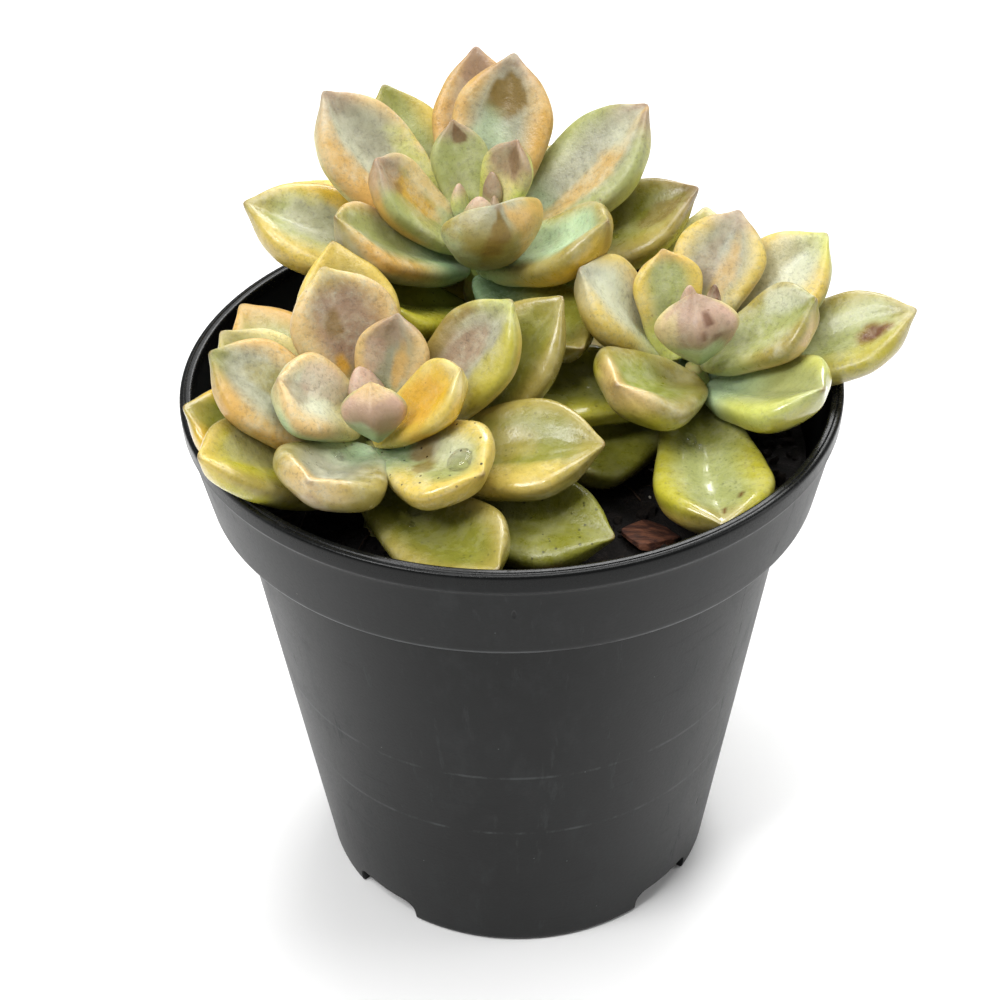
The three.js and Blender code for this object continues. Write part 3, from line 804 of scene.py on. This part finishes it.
# Each leaf's blotches and streaks: how far along it, how near an edge, upper face (1) or keel (-1),
# length and width on the same scales, colour and strength.
MARKS = {
    "back_core_1": [
        (0.84, 0.1, 1, 0.28, 1.2, "mauve", 0.9),
        (0.80, 0.3, 1, 0.14, 0.4, "umber", 0.7),
    ],
    "back_core_2": [(0.86, 0.1, 1, 0.1, 0.4, "umber", 0.9)],
    "back_inner_1": [
        (0.90, 0.1, -1, 0.1, 0.34, "bronze", 0.85),
        (0.78, 0.25, -1, 0.09, 0.22, "bronze", 0.75),
        (0.55, -0.65, -1, 0.4, 0.4, "apricot", 0.8),
        (0.45, 0.75, -1, 0.3, 0.35, "mint", 0.6),
    ],
    "back_inner_2": [
        (0.58, 0.1, 1, 0.35, 0.3, "amber", 0.7),
        (0.55, 0.75, 1, 0.4, 0.3, "peach", 0.8),
        (0.90, 0.0, 1, 0.16, 0.9, "mauve", 0.8),
        (0.70, -0.1, 1, 0.06, 0.14, "umber", 0.6),
    ],
    "back_middle_1": [
        (0.60, -0.4, 1, 0.34, 0.24, "frost", 0.55),
        (0.45, -0.75, 1, 0.4, 0.3, "apricot", 0.8),
        (0.35, 0.6, 1, 0.3, 0.4, "pear", 0.7),
    ],
    "back_middle_2": [
        (0.78, 0.05, 1, 0.15, 0.5, "bronze", 0.95),
        (0.45, -0.2, 1, 0.25, 0.45, "mint", 0.5),
    ],
    "back_middle_3": [
        (0.55, 0.32, 1, 0.45, 0.3, "apricot", 0.75),
        (0.84, 0.1, 1, 0.12, 0.5, "frost", 0.5),
    ],
    "back_middle_4": [
        (0.50, 0.0, -1, 0.3, 0.8, "gold", 0.8),
        (0.85, 0.0, -1, 0.12, 0.6, "bronze", 0.5),
    ],
    "back_middle_5": [
        (0.40, 0.5, -1, 0.3, 0.5, "peach", 0.8),
        (0.66, -0.1, -1, 0.16, 0.4, "bronze", 0.6),
    ],
    "back_outer_3": [(0.80, 0.2, 1, 0.12, 0.4, "umber", 0.5)],
    "back_outer_4": [
        (0.62, 0.1, 1, 0.2, 0.5, "slate", 0.7),
        (0.45, 0.85, 1, 0.3, 0.3, "gold", 0.7),
    ],
    "left_core_1": [
        (0.70, 0.0, -1, 0.24, 0.5, "mauve", 0.35),
        (0.34, 0.5, -1, 0.24, 0.6, "mint", 0.7),
    ],
    "left_inner_1": [
        (0.52, 0.3, 1, 0.24, 0.24, "apricot", 0.8),
        (0.82, -0.3, 1, 0.16, 0.6, "mauve", 0.7),
        (0.60, -0.5, 1, 0.2, 0.3, "rose", 0.7),
    ],
    "left_inner_2": [
        (0.80, -0.2, 1, 0.16, 0.4, "umber", 0.5),
        (0.50, 0.4, 1, 0.3, 0.4, "rose", 0.5),
    ],
    "left_inner_3": [
        (0.42, 0.0, 1, 0.3, 0.8, "amber", 0.8),
        (0.40, 0.0, -1, 0.3, 0.8, "amber", 0.8),
    ],
    "left_middle_1": [
        (0.66, -0.2, 1, 0.09, 0.2, "bronze", 0.7),
        (0.42, -0.45, 1, 0.07, 0.16, "amber", 0.9),
        (0.36, -0.1, 1, 0.05, 0.12, "bronze", 0.7),
    ],
    "left_middle_2": [
        (0.60, -0.2, 1, 0.24, 0.4, "mauve", 0.8),
        (0.55, -0.75, 1, 0.25, 0.25, "bronze", 0.6),
        (0.62, 0.7, 1, 0.3, 0.35, "lime", 0.65),
    ],
    "left_middle_3": [
        (0.50, 0.0, -1, 0.12, 0.5, "olive", 0.5),
        (0.80, 0.0, -1, 0.14, 0.5, "mauve", 0.5),
    ],
    "left_middle_4": [
        (0.36, -0.2, 1, 0.12, 0.4, "umber", 0.8),
        (0.50, 0.3, 1, 0.08, 0.3, "bronze", 0.7),
        (0.60, -0.3, 1, 0.2, 0.3, "frost", 0.5),
    ],
    "left_middle_5": [(0.60, 0.2, 1, 0.16, 0.3, "khaki", 0.7)],
    "left_outer_2": [
        (0.55, 0.8, 1, 0.35, 0.35, "straw", 0.7),
        (0.50, -0.1, 1, 0.2, 0.4, "khaki", 0.6),
    ],
    "left_outer_4": [(0.60, 0.2, 1, 0.2, 0.5, "slate", 0.5)],
    "right_core_1": [
        (0.68, 0.1, -1, 0.3, 0.7, "mauve", 0.45),
        (0.55, 0.8, -1, 0.3, 0.3, "cream", 0.5),
        (0.30, 0.0, -1, 0.2, 0.8, "mint", 0.7),
        (0.80, -0.3, -1, 0.08, 0.16, "rust", 0.75),
        (0.64, -0.1, -1, 0.06, 0.12, "rust", 0.7),
        (0.58, -0.4, -1, 0.04, 0.1, "rust", 0.6),
    ],
    "right_inner_2": [
        (0.50, 0.3, 1, 0.34, 0.24, "apricot", 0.6),
        (0.55, -0.2, 1, 0.3, 0.24, "mauve", 0.5),
    ],
    "right_inner_3": [
        (0.55, 0.2, -1, 0.3, 0.5, "mauve", 0.7),
        (0.80, -0.5, 1, 0.24, 0.4, "frost", 0.7),
    ],
    "right_inner_4": [(0.50, 0.5, -1, 0.3, 0.5, "slate", 0.7)],
    "right_middle_2": [(0.60, 0.2, -1, 0.25, 0.5, "peach", 0.5)],
    "right_middle_4": [(0.60, -0.4, 1, 0.3, 0.3, "khaki", 0.5)],
    "right_outer_1": [
        (0.78, 0.35, 1, 0.1, 0.34, "bronze", 0.9),
        (0.78, 0.35, 1, 0.075, 0.25, "rust", 1),
        (0.76, 0.3, 1, 0.04, 0.12, "umber", 0.9),
        (0.50, 0.8, 1, 0.35, 0.3, "lime", 0.5),
    ],
    "right_outer_3": [
        (0.78, -0.5, 1, 0.03, 0.08, "rust", 0.9),
        (0.88, -0.1, 1, 0.03, 0.08, "rust", 0.9),
    ],
}

# Leaves with a flatter keel, and its depth as a share of the others'.
FLATTER = {
    "left_middle_3": 0.76,
    "left_middle_4": 0.78,
    "right_middle_1": 0.78,
    "right_middle_2": 0.76,
    "back_middle_4": 0.85,
    "back_middle_5": 0.85,
}

# Leaves with peat on them, from a few specks to many. The others have the least.
LEAST_GRIT = 0.04
GRIT = {
    "left_middle_4": 0.9,
    "left_middle_3": 0.4,
    "left_outer_9": 0.6,
    "left_outer_8": 0.3,
    "left_outer_4": 0.3,
    "left_outer_2": 0.25,
    "back_outer_6": 0.4,
    "right_outer_2": 0.35,
    "right_outer_3": 0.25,
    "back_middle_4": 0.2,
}


def neighbours(vert):
    """The vertices that share an edge with this one."""
    return [edge.other_vert(vert) for edge in vert.link_edges]


def ring_around(pole):
    """The vertices around a pole, in order."""
    members = set(neighbours(pole))
    ring = [neighbours(pole)[0]]
    while len(ring) < LEAF_SIDES:
        ring.append(next(v for v in neighbours(ring[-1]) if v in members and v not in ring))
    return ring


def total_gap(first, second):
    """The distances between two rings' vertices, added up."""
    return sum((a.co - b.co).length for a, b in zip(first, second))


def next_ring(ring, seen):
    """The ring beyond this one, each vertex in line with this ring's."""
    shared = []
    for here, after in zip(ring, ring[1:] + ring[:1]):
        both = set(neighbours(here)) & set(neighbours(after))
        shared.append(next(v for v in both if v not in seen))
    turned = shared[-1:] + shared[:-1]
    return min(shared, turned, key=lambda choice: total_gap(ring, choice))


class Leaf:
    """A CAD leaf's mesh read as rings from its tip to its foot, with its own directions."""

    def __init__(self, name, heart):
        self.name = name
        self.heart = heart
        self.shape = bmesh.new()
        self.shape.from_mesh(nodes["leaf_" + name].data)
        bmesh.ops.remove_doubles(self.shape, verts=self.shape.verts, dist=MERGE)
        self.layers = [self.shape.verts.layers.float.new(name) for name in PLACES]
        poles = [v for v in self.shape.verts if len(v.link_edges) == LEAF_SIDES]
        self.foot, self.tip = sorted(poles, key=lambda v: (v.co - heart).length)
        self.read_rings()
        self.drop_diagonals()
        self.find_directions()
        self.mark_places()

    def read_rings(self):
        """Finds the rings of vertices, from the one around the tip to the one around the foot."""
        self.rings = [ring_around(self.tip)]
        seen = {self.tip, *self.rings[0]}
        while self.foot not in neighbours(self.rings[-1][0]):
            self.rings.append(next_ring(self.rings[-1], seen))
            seen.update(self.rings[-1])

    def drop_diagonals(self):
        """Leaves only the rings and the lines along the leaf, so that its faces are quads."""
        diagonals = []
        for ring, beyond in zip(self.rings, self.rings[1:]):
            for here, ahead in zip(ring, beyond):
                across = [e for e in here.link_edges if e.other_vert(here) in beyond]
                diagonals += [e for e in across if e.other_vert(here) is not ahead]
        bmesh.ops.dissolve_edges(self.shape, edges=diagonals, use_verts=False)

    def find_directions(self):
        """Finds the widest ring's two edges, which side is the face and which the right."""
        half = LEAF_SIDES // 2
        spans = [
            ((ring[i].co - ring[i + half].co).length, ring, i)
            for ring in self.rings
            for i in range(half)
        ]
        self.width, ring, self.first = max(spans, key=lambda span: span[0])
        right, left = ring[self.first].co, ring[self.first + half].co
        middle = (right + left) / 2
        quarter = half // 2
        one, other = (ring[(self.first + turn) % LEAF_SIDES].co for turn in (quarter, half + quarter))
        self.turning = 1 if (one - middle).length < (other - middle).length else -1
        face, keel = (one, other) if self.turning == 1 else (other, one)
        self.up = (face - keel).normalized()
        self.along = (self.tip.co - self.foot.co).normalized()
        self.side = self.along.cross(self.up).normalized()
        self.edge_sign = 1 if (right - left).dot(self.side) > 0 else -1
        self.length = (self.tip.co - self.foot.co).length

    def mark_places(self):
        """Stores on each vertex how far along the leaf it is, towards which edge and which face."""
        for index, ring in enumerate(self.rings):
            share = 1 - (index + 1) / len(self.rings)
            along = 0.35 * share + 0.65 * math.sin(math.pi / 2 * share)
            for column, vert in enumerate(ring):
                angle = self.turning * FULL_TURN * (column - self.first) / LEAF_SIDES
                values = (along, self.edge_sign * math.cos(angle), math.sin(angle))
                for layer, value in zip(self.layers, values):
                    vert[layer] = value
        self.tip[self.layers[0]] = 1
        self.tip_place = self.tip.co.copy()
        self.middles = [(1, self.tip_place)]
        for ring in self.rings:
            centre = sum((vert.co for vert in ring), Vector()) / LEAF_SIDES
            self.middles.append((ring[0][self.layers[0]], centre))

    def middle_at(self, along):
        """The middle of the leaf's section at a share of its length."""
        for (upper, after), (lower, before) in zip(self.middles, self.middles[1:]):
            if along >= lower:
                return before.lerp(after, (along - lower) / (upper - lower))
        return self.middles[-1][1]


def leaf_relief(leaf, along, edge, face, place):
    """How far a point of the leaf stands out from its smooth form, in millimetres."""
    seed = len(leaf.name) + 7 * leaf.length / MM
    width = leaf.width / MM
    uneven = 0.018 * width * ripple(place, 9, seed) + 0.008 * width * ripple(place, 3.2, seed)
    body = smooth(0, 0.2, along) * smooth(1, 0.82, along)
    swell = 0.025 * width + 0.04 * width * smooth(0.2, -0.6, face)
    valley = -0.06 * width * smooth(0.6, 0, abs(edge)) * smooth(0.1, 0.7, face)
    lip = 0.02 * width * smooth(0.5, 0.85, abs(edge)) * smooth(-0.3, 0.3, face)
    ridge = 0.03 * width * smooth(0.5, 0, abs(edge)) * smooth(-0.4, -0.9, face)
    return body * (swell + uneven + valley + lip + ridge * smooth(0.3, 0.8, along))


def broaden(leaf, place, along):
    """Fills out a leaf's shoulders, and its foot towards the stem, which it clasps."""
    centre = leaf.middle_at(along)
    offset = place - centre
    across = leaf.side * offset.dot(leaf.side)
    foot = smooth(0.42, 0, along)
    shoulders = smooth(0.5, 0.78, along) * smooth(1, 0.92, along)
    wider = 1 + 0.32 * foot + 0.1 * shoulders
    thicker = (1 + 0.12 * foot) * (FLATTER.get(leaf.name, 1) if offset.dot(leaf.up) < 0 else 1)
    return centre + across * wider + (offset - across) * thicker - leaf.along * 1.8 * MM * foot**3


def young_place(leaf, along, edge, face):
    """A point on a plump young leaf: pointed at its foot, broad in its shoulders, its keel in front."""
    foot, tip, width = YOUNG_FORMS[leaf.name]
    start, end = (leaf.heart + Vector(place) * MM for place in (foot, tip))
    axis = end - start
    up = Vector((0, 1, 0))
    side = axis.cross(up).normalized()
    point = smooth(0.84, 1, along)
    half = width * MM * (0.07 * (1 - along) + 0.5 * math.sin(math.pi * along**1.36) ** 0.78)
    half *= 1 - 0.2 * point
    depth = 0.4 + 0.2 * smooth(0.3, -0.5, face)
    keel = 0.2 * half * smooth(0.5, 0, abs(edge)) * smooth(0, -0.8, face)
    bow = 0.05 * axis.length * math.sin(math.pi * along)
    centre = start + axis * along - up * (bow + keel) + axis.normalized() * 0.45 * MM * point**3
    uneven = 1 + 0.03 * ripple(centre + side * edge * half, 5)
    return centre + (side * edge + up * face * depth) * half * uneven


def sharpen_tip(leaf, place, along):
    """Draws the end of the leaf to a small soft point."""
    share = smooth(0.88, 1, along)
    if not share:
        return place
    offset = place - leaf.tip_place
    lengthwise = leaf.along * offset.dot(leaf.along)
    drawn_out = leaf.along * 0.3 * MM * share**3
    return leaf.tip_place + lengthwise + (offset - lengthwise) * (1 - 0.14 * share) + drawn_out


def marks_at(leaf, along, edge, face, place):
    """The tint and strength of each blotch or streak that reaches a point of the leaf."""
    seed = 3 * leaf.length / MM
    drift = ripple(place, 3.4, seed + 4)
    speck = ripple(place, 1.3, seed)
    found = []
    for at, across, side, length, width, tint, strength in MARKS.get(leaf.name, []):
        if side * face < -0.2:
            continue
        distance = math.hypot((along - at) / length, (edge - across) / width)
        ragged = distance + 0.35 * drift + 0.2 * speck
        outer, inner = (1.12, 0.84) if tint in BARE_TINTS else (1.25, 0.7)
        found.append((tint, strength * smooth(outer, inner, ragged)))
    return found


def leaf_tone(leaf, tones, along, edge, face, place):
    """The leaf's colour at a point, with its marks and a painted shade on its keel, before its fine
    mottling.
    """
    foot, middle, margin, keel, tip = (TINTS[name] for name in tones[:5])
    seed = 3 * leaf.length / MM
    wave = ripple(place, 7, seed)
    drift = ripple(place, 3.4, seed + 4)
    tone = mixed(foot, middle, smooth(0.14, 0.5, along + 0.1 * wave))
    rim = smooth(0.36, 0.95, abs(edge) + 0.16 * wave + 0.05 * drift) * smooth(0.16, 0.5, along)
    tone = mixed(tone, margin, rim)
    under = mixed(foot, keel, smooth(0.1, 0.45, along + 0.1 * drift))
    tone = mixed(tone, under, smooth(0.1, -0.4, face + 0.14 * drift))
    # Painted shade: the keel's lower side, most of all from the foot to the middle, is darkened towards
    # a deep olive. This is partly the leaf's own darker underside and partly shade from the light
    # above.
    shadow = smooth(-0.35, -0.95, face + 0.12 * drift) * smooth(1, 0.5, along)
    tone = mixed(tone, TINTS["painted_keel_shade"], 0.5 * shadow)
    tone = mixed(tone, tip, 0.85 * smooth(0.78, 0.97, along + 0.06 * wave))
    tone = mixed(tone, TINTS["umber"], 0.7 * smooth(0.965, 1, along))
    for tint, share in marks_at(leaf, along, edge, face, place):
        tone = mixed(tone, TINTS[tint], share)
    return tone


def places_on(mesh):
    """How far along the leaf each vertex is, towards which edge and towards which face."""
    read = [[0.0] * len(mesh.vertices) for _ in PLACES]
    for name, values in zip(PLACES, read):
        mesh.attributes[name].data.foreach_get("value", values)
    return read


def paint_leaf(leaf, mesh):
    """Stores the leaf's colour, bloom, wetness and specks on its vertices."""
    tones = LEAF_TONES.get(leaf.name, LOWER_TONES)
    colours, blooms, wets, grits = [], [], [], []
    for vert, along, edge, face in zip(mesh.vertices, *places_on(mesh)):
        colours += leaf_tone(leaf, tones, along, edge, face, vert.co)
        patch = ripple(vert.co, 6, 11)
        marks = marks_at(leaf, along, edge, face, vert.co)
        bare = max([share for tint, share in marks if tint in BARE_TINTS], default=0)
        blooms.append(tones[5] * smooth(-0.5, 0.3, patch + 0.3 * face) * (1 - 0.9 * bare))
        wets.append(tones[6] * smooth(-0.3, 0.1, ripple(vert.co, 8, 5) + 0.2))
        peat = GRIT.get(leaf.name, LEAST_GRIT)
        grits.append(peat * smooth(-0.2, 0.5, face + 0.5 * ripple(vert.co, 5, 8)))
    tone = mesh.attributes.new("tone", "FLOAT_COLOR", "POINT")
    tone.data.foreach_set("color", colours)
    for name, values in (("bloom", blooms), ("wet", wets), ("grit", grits)):
        mesh.attributes.new(name, "FLOAT", "POINT").data.foreach_set("value", values)


def sculpt_leaf(leaf, mesh):
    """Moves the rounded leaf's vertices to its final form."""
    moved = []
    for vert, along, edge, face in zip(mesh.vertices, *places_on(mesh)):
        if leaf.name in YOUNG_FORMS:
            moved.extend(young_place(leaf, along, edge, face))
            continue
        raised = leaf_relief(leaf, along, edge, face, vert.co) * MM
        place = broaden(leaf, vert.co + vert.normal * raised, along)
        moved.extend(sharpen_tip(leaf, place, along))
    mesh.vertices.foreach_set("co", moved)
    mesh.update()


def make_leaf(node, heart, finishes):
    """One leaf that stands for its CAD node: rounded, given its form and painted."""
    leaf = Leaf(node.removeprefix("leaf_"), heart)
    age = leaf.name.split("_")[1]
    mesh = bpy.data.meshes.new(leaf.name)
    leaf.shape.to_mesh(mesh)
    leaf.shape.free()
    slot = {"core": "young_leaf"}.get(age, age + "_leaf")
    piece = mesh_object(leaf.name, mesh, finishes[slot])
    subdivide(piece, 2)
    apply_modifiers(piece)
    sculpt_leaf(leaf, piece.data)
    paint_leaf(leaf, piece.data)
    subdivide(piece, 1)
    belongs(piece, slot, node)
    return piece


# ---------------------------------------------------------------- buds and stems

# The tiny leaves in each rosette's heart: place of the foot from the heart, turn and lift in degrees,
# length, width, and colours from foot to tip.
BUDS = {
    "back": [
        ((0.4, -1.3, 0.6), -85, 78, 7.4, 6.2, "mint", "sage", "rose"),
        ((1.9, 0.9, 1.6), 50, 82, 8.2, 4.2, "sage", "mauve", "mauve"),
        ((-1.4, 0.9, 0.8), 150, 78, 7.2, 4.4, "mint", "pear", "rose"),
        ((1.8, -0.6, 0.6), -10, 80, 6.4, 3.6, "pear", "rose", "mauve"),
    ],
    "left": [
        ((1.2, 1.2, 2.4), 150, 60, 7.6, 6.8, "sage", "rose", "rose"),
        ((-0.4, 2.8, 1.0), 60, 76, 6.0, 4.4, "pear", "rose", "mauve"),
        ((0.6, 1.8, 1.0), -20, 80, 5.4, 3.6, "pear", "rose", "rose"),
    ],
    "right": [
        ((-0.4, 1.6, 2.6), 120, 78, 7.6, 4.0, "pear", "rose", "rose"),
        ((1.2, 0.8, 3.2), 20, 80, 8.0, 4.0, "mint", "rose", "rust"),
        ((2.0, -0.2, 2.8), -60, 82, 7.4, 3.4, "pear", "rose", "rust"),
    ],
}
BUD_BLOOM = 0.7
# How far the heart is above the end of the stem.
HEART_RISE = 2.5
STEM_RADIUS = 2.3
STEM_SCARS = 9


def add_bud_leaf(shape, layer, top, row):
    """Adds a small plump pointed leaf, from a sphere drawn out to a point."""
    place, turn, lift, length, width, foot, middle, tip = row
    leaf = bmesh.ops.create_uvsphere(shape, u_segments=12, v_segments=10, radius=0.5)["verts"]
    for vert in leaf:
        share = vert.co.z + 0.5
        taper = 1 - 0.3 * smooth(0.6, 1, share)
        vert.co.x *= taper * width * (0.8 + 0.2 * share)
        vert.co.y *= taper * width * 0.62
        vert.co.y -= 0.12 * width * math.sin(math.pi * share)
        vert.co.z = share * length
        tone = mixed(TINTS[foot], TINTS[middle], smooth(0.25, 0.6, share))
        vert[layer] = mixed(tone, TINTS[tip], smooth(0.6, 0.95, share))
    facing = Matrix.Rotation(math.radians(90), 3, "Z")
    lean = Matrix.Rotation(math.radians(90 - lift), 3, "Y")
    aim = Matrix.Rotation(math.radians(turn), 3, "Z") @ lean @ facing
    for vert in leaf:
        vert.co = (aim @ vert.co + Vector(place)) * MM + top


def heart_of(name):
    """Where a rosette's youngest leaves sit, above the end of its stem."""
    low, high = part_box("stem_" + name)
    return Vector(((low.x + high.x) / 2, (low.y + high.y) / 2, high.z + HEART_RISE * MM))


def make_bud(name, rows, finish):
    """The tiny leaves of one heart, as one piece."""
    top = heart_of(name)
    shape = bmesh.new()
    bloom = shape.verts.layers.float.new("bloom")
    layer = shape.verts.layers.float_color.new("tone")
    for row in rows:
        add_bud_leaf(shape, layer, top, row)
    for vert in shape.verts:
        vert[bloom] = BUD_BLOOM
    mesh = bpy.data.meshes.new(name + "_bud")
    shape.to_mesh(mesh)
    shape.free()
    bud = mesh_object(name + "_bud", mesh, finish)
    subdivide(bud, 1)
    belongs(bud, "young_leaf", "bud_" + name)


def make_stem(name, finish):
    """A stem with the low rings that dropped leaves have left."""
    low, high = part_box("stem_" + name)
    centre = (low + high) / 2
    top = high.z / MM
    foot = low.z / MM
    steps = 44
    profile = [(0, foot)]
    for step in range(steps + 1):
        share = step / steps
        taper = smooth(0, 0.12, share) * 0.3 + 0.7 - 0.35 * smooth(0.9, 1, share)
        ring = 0.1 * math.sin(FULL_TURN * share * STEM_SCARS)
        profile.append(((STEM_RADIUS + ring) * taper, foot + (top - foot) * share))
    profile.append((0, top + 0.3))
    shape = spun(profile, 28)
    for vert in shape.verts:
        lump = 1 + 0.08 * ripple(vert.co, 2.4, foot)
        vert.co.x = vert.co.x * lump + centre.x
        vert.co.y = vert.co.y * lump + centre.y
    stem = object_from(name + "_stem", shape, finish)
    belongs(stem, "stem", "stem_" + name)


# ---------------------------------------------------------------- water

# Drops: leaf, how far along it, how near an edge, upper face (1) or keel (-1), and diameter.
DROPS = [
    ("left_middle_4", 0.74, -0.1, 1, 4.2),
    ("left_middle_3", 0.30, 0.3, 1, 1.8),
    ("left_outer_8", 0.30, -0.1, 1, 2.2),
    ("left_outer_8", 0.36, 0.2, 1, 1.4),
    ("right_middle_3", 0.62, 0.3, 1, 2.2),
    ("right_middle_3", 0.54, 0.45, 1, 1.3),
    ("right_middle_3", 0.70, 0.1, 1, 1.0),
    ("right_outer_3", 0.30, 0.35, 1, 2.6),
    ("right_outer_3", 0.34, 0.1, 1, 1.4),
    ("back_outer_3", 0.35, 0.5, 1, 1.8),
    ("right_outer_2", 0.40, 0.2, 1, 1.8),
    ("right_middle_1", 0.20, -0.4, 1, 1.6),
    ("left_outer_2", 0.25, 0.5, 1, 1.3),
]


def make_drops(leaves, material):
    """Water drops, each half sunk in the leaf at the vertex nearest to its place."""
    shape = bmesh.new()
    for name, along, edge, side, size in DROPS:
        mesh = leaves[name].data
        misses = [
            abs(at - along) + abs(across - edge) * 0.5 + (0 if side * face > 0 else 2)
            for at, across, face in zip(*places_on(mesh))
        ]
        spot = mesh.vertices[misses.index(min(misses))]
        drop = bmesh.ops.create_icosphere(shape, subdivisions=3, radius=size / 2 * MM)["verts"]
        bmesh.ops.scale(shape, vec=(1, 1, 0.5), verts=drop)
        turn = spot.normal.to_track_quat("Z", "Y").to_matrix()
        bmesh.ops.rotate(shape, matrix=turn, verts=drop)
        bmesh.ops.translate(shape, vec=spot.co + spot.normal * 0.06 * size * MM, verts=drop)
    mesh = bpy.data.meshes.new("water_drops")
    shape.to_mesh(mesh)
    shape.free()
    drops = mesh_object("water_drops", mesh, material)
    belongs(drops, "outer_leaf")


# ---------------------------------------------------------------- studio

LENS = 72
SENSOR = 36
CAMERA_PLACE = (0, -0.2596, 0.2613)
# Turn, tilt and roll in degrees.
CAMERA_ANGLES = (0.47, 53.3, -1.23)
ROOM_LIGHT = 0.25
LIT_POINT = Vector((0, 0, 0.08))
# Name, place, width and height, and power.
LAMPS = [
    ("key", (-0.45, -0.35, 0.85), (0.35, 0.35), 5.8),
    ("top", (0.1, 0.04, 0.95), (0.5, 0.5), 5.8),
    ("sheen", (0.12, 0.6, 0.6), (0.34, 0.18), 2),
    ("glint", (-0.15, -0.35, 0.8), (0.06, 0.06), 0.8),
    ("right_strip", (0.75, -0.05, 0.35), (0.25, 0.7), 1.8),
    ("left_fill", (-0.8, 0.1, 0.3), (0.3, 0.7), 0.8),
    ("back_top", (0.1, 0.7, 0.7), (0.7, 0.4), 2.5),
]
FLOOR_DROP = 0.05


def make_floor(material):
    """A wide level floor just under the pot."""
    shape = bmesh.new()
    bmesh.ops.create_grid(shape, x_segments=8, y_segments=8, size=4)
    floor = object_from("floor", shape, material)
    for vert in floor.data.vertices:
        vert.co.z = -FLOOR_DROP * MM


def make_camera():
    """The camera, which looks down on the plant from the front."""
    camera = bpy.data.objects.new("camera", bpy.data.cameras.new("camera"))
    camera.data.lens = LENS
    camera.data.sensor_width = SENSOR
    turn, tilt, roll = (math.radians(angle) for angle in CAMERA_ANGLES)
    aim = Matrix.Rotation(turn, 4, "Z") @ Matrix.Rotation(tilt, 4, "X") @ Matrix.Rotation(roll, 4, "Z")
    camera.matrix_world = Matrix.Translation(CAMERA_PLACE) @ aim
    bpy.context.scene.collection.objects.link(camera)
    bpy.context.scene.camera = camera


def softbox(name, place, size, power):
    """A rectangular lamp that faces the middle of the plant."""
    lamp = bpy.data.lights.new(name, "AREA")
    lamp.shape = "RECTANGLE"
    lamp.size, lamp.size_y = size
    lamp.energy = power
    holder = bpy.data.objects.new(name, lamp)
    holder.location = place
    holder.rotation_euler = (Vector(place) - LIT_POINT).to_track_quat("Z", "Y").to_euler()
    bpy.context.scene.collection.objects.link(holder)


def make_light():
    """A pale room and the lamps."""
    world = bpy.data.worlds.new("studio")
    world.use_nodes = True
    background = world.node_tree.nodes["Background"].inputs
    background["Color"].default_value = (1, 1, 1, 1)
    background["Strength"].default_value = ROOM_LIGHT
    bpy.context.scene.world = world
    for row in LAMPS:
        softbox(*row)
    bpy.context.scene.view_settings.view_transform = "Standard"


# ---------------------------------------------------------------- assembly

make_camera()
make_light()
make_floor(floor_finish())

make_pot(pot_finish())
make_soil(soil_finish("damp_peat", "0b0806", "1d1511", 0.35))
crumb_finish = soil_finish("peat_crumb", "120c08", "2a1f17", 0.25)
make_crumbs(crumb_finish)
make_perlite(mineral_finish())
twig_finish = bark_finish("pale_twig", "8d6f4d", "c9ab80")
make_strands("root_fibres", 60, (4, 11), 0.35, 3, bark_finish("dark_fibre", "2a1d14", "4a3626"))
make_strands("pale_twigs", 5, (6, 12), 0.9, 8, twig_finish, near=(-43, 7))
chip_finish = bark_finish("red_bark", "3c1d12", "754730")
for number, row in enumerate(CHIPS, 1):
    make_chip(f"bark_chip_{number}", *row, chip_finish)

leaf_finishes = {
    "young_leaf": leaf_finish("young_skin", 0.22, 0.5, 0.02),
    "inner_leaf": leaf_finish("inner_skin", 0.3, 0.6, 0.04),
    "middle_leaf": leaf_finish("middle_skin", 0.36, 0.65, 0.06),
    "outer_leaf": leaf_finish("outer_skin", 0.4, 0.5, 0.12),
}
stem_skin = stem_finish()
leaves = {}
for rosette, bud_rows in BUDS.items():
    for node in sorted(nodes):
        if node.startswith("leaf_" + rosette):
            leaves[node.removeprefix("leaf_")] = make_leaf(node, heart_of(rosette), leaf_finishes)
    make_bud(rosette, bud_rows, leaf_finishes["young_leaf"])
    make_stem(rosette, stem_skin)
make_drops(leaves, water_finish())
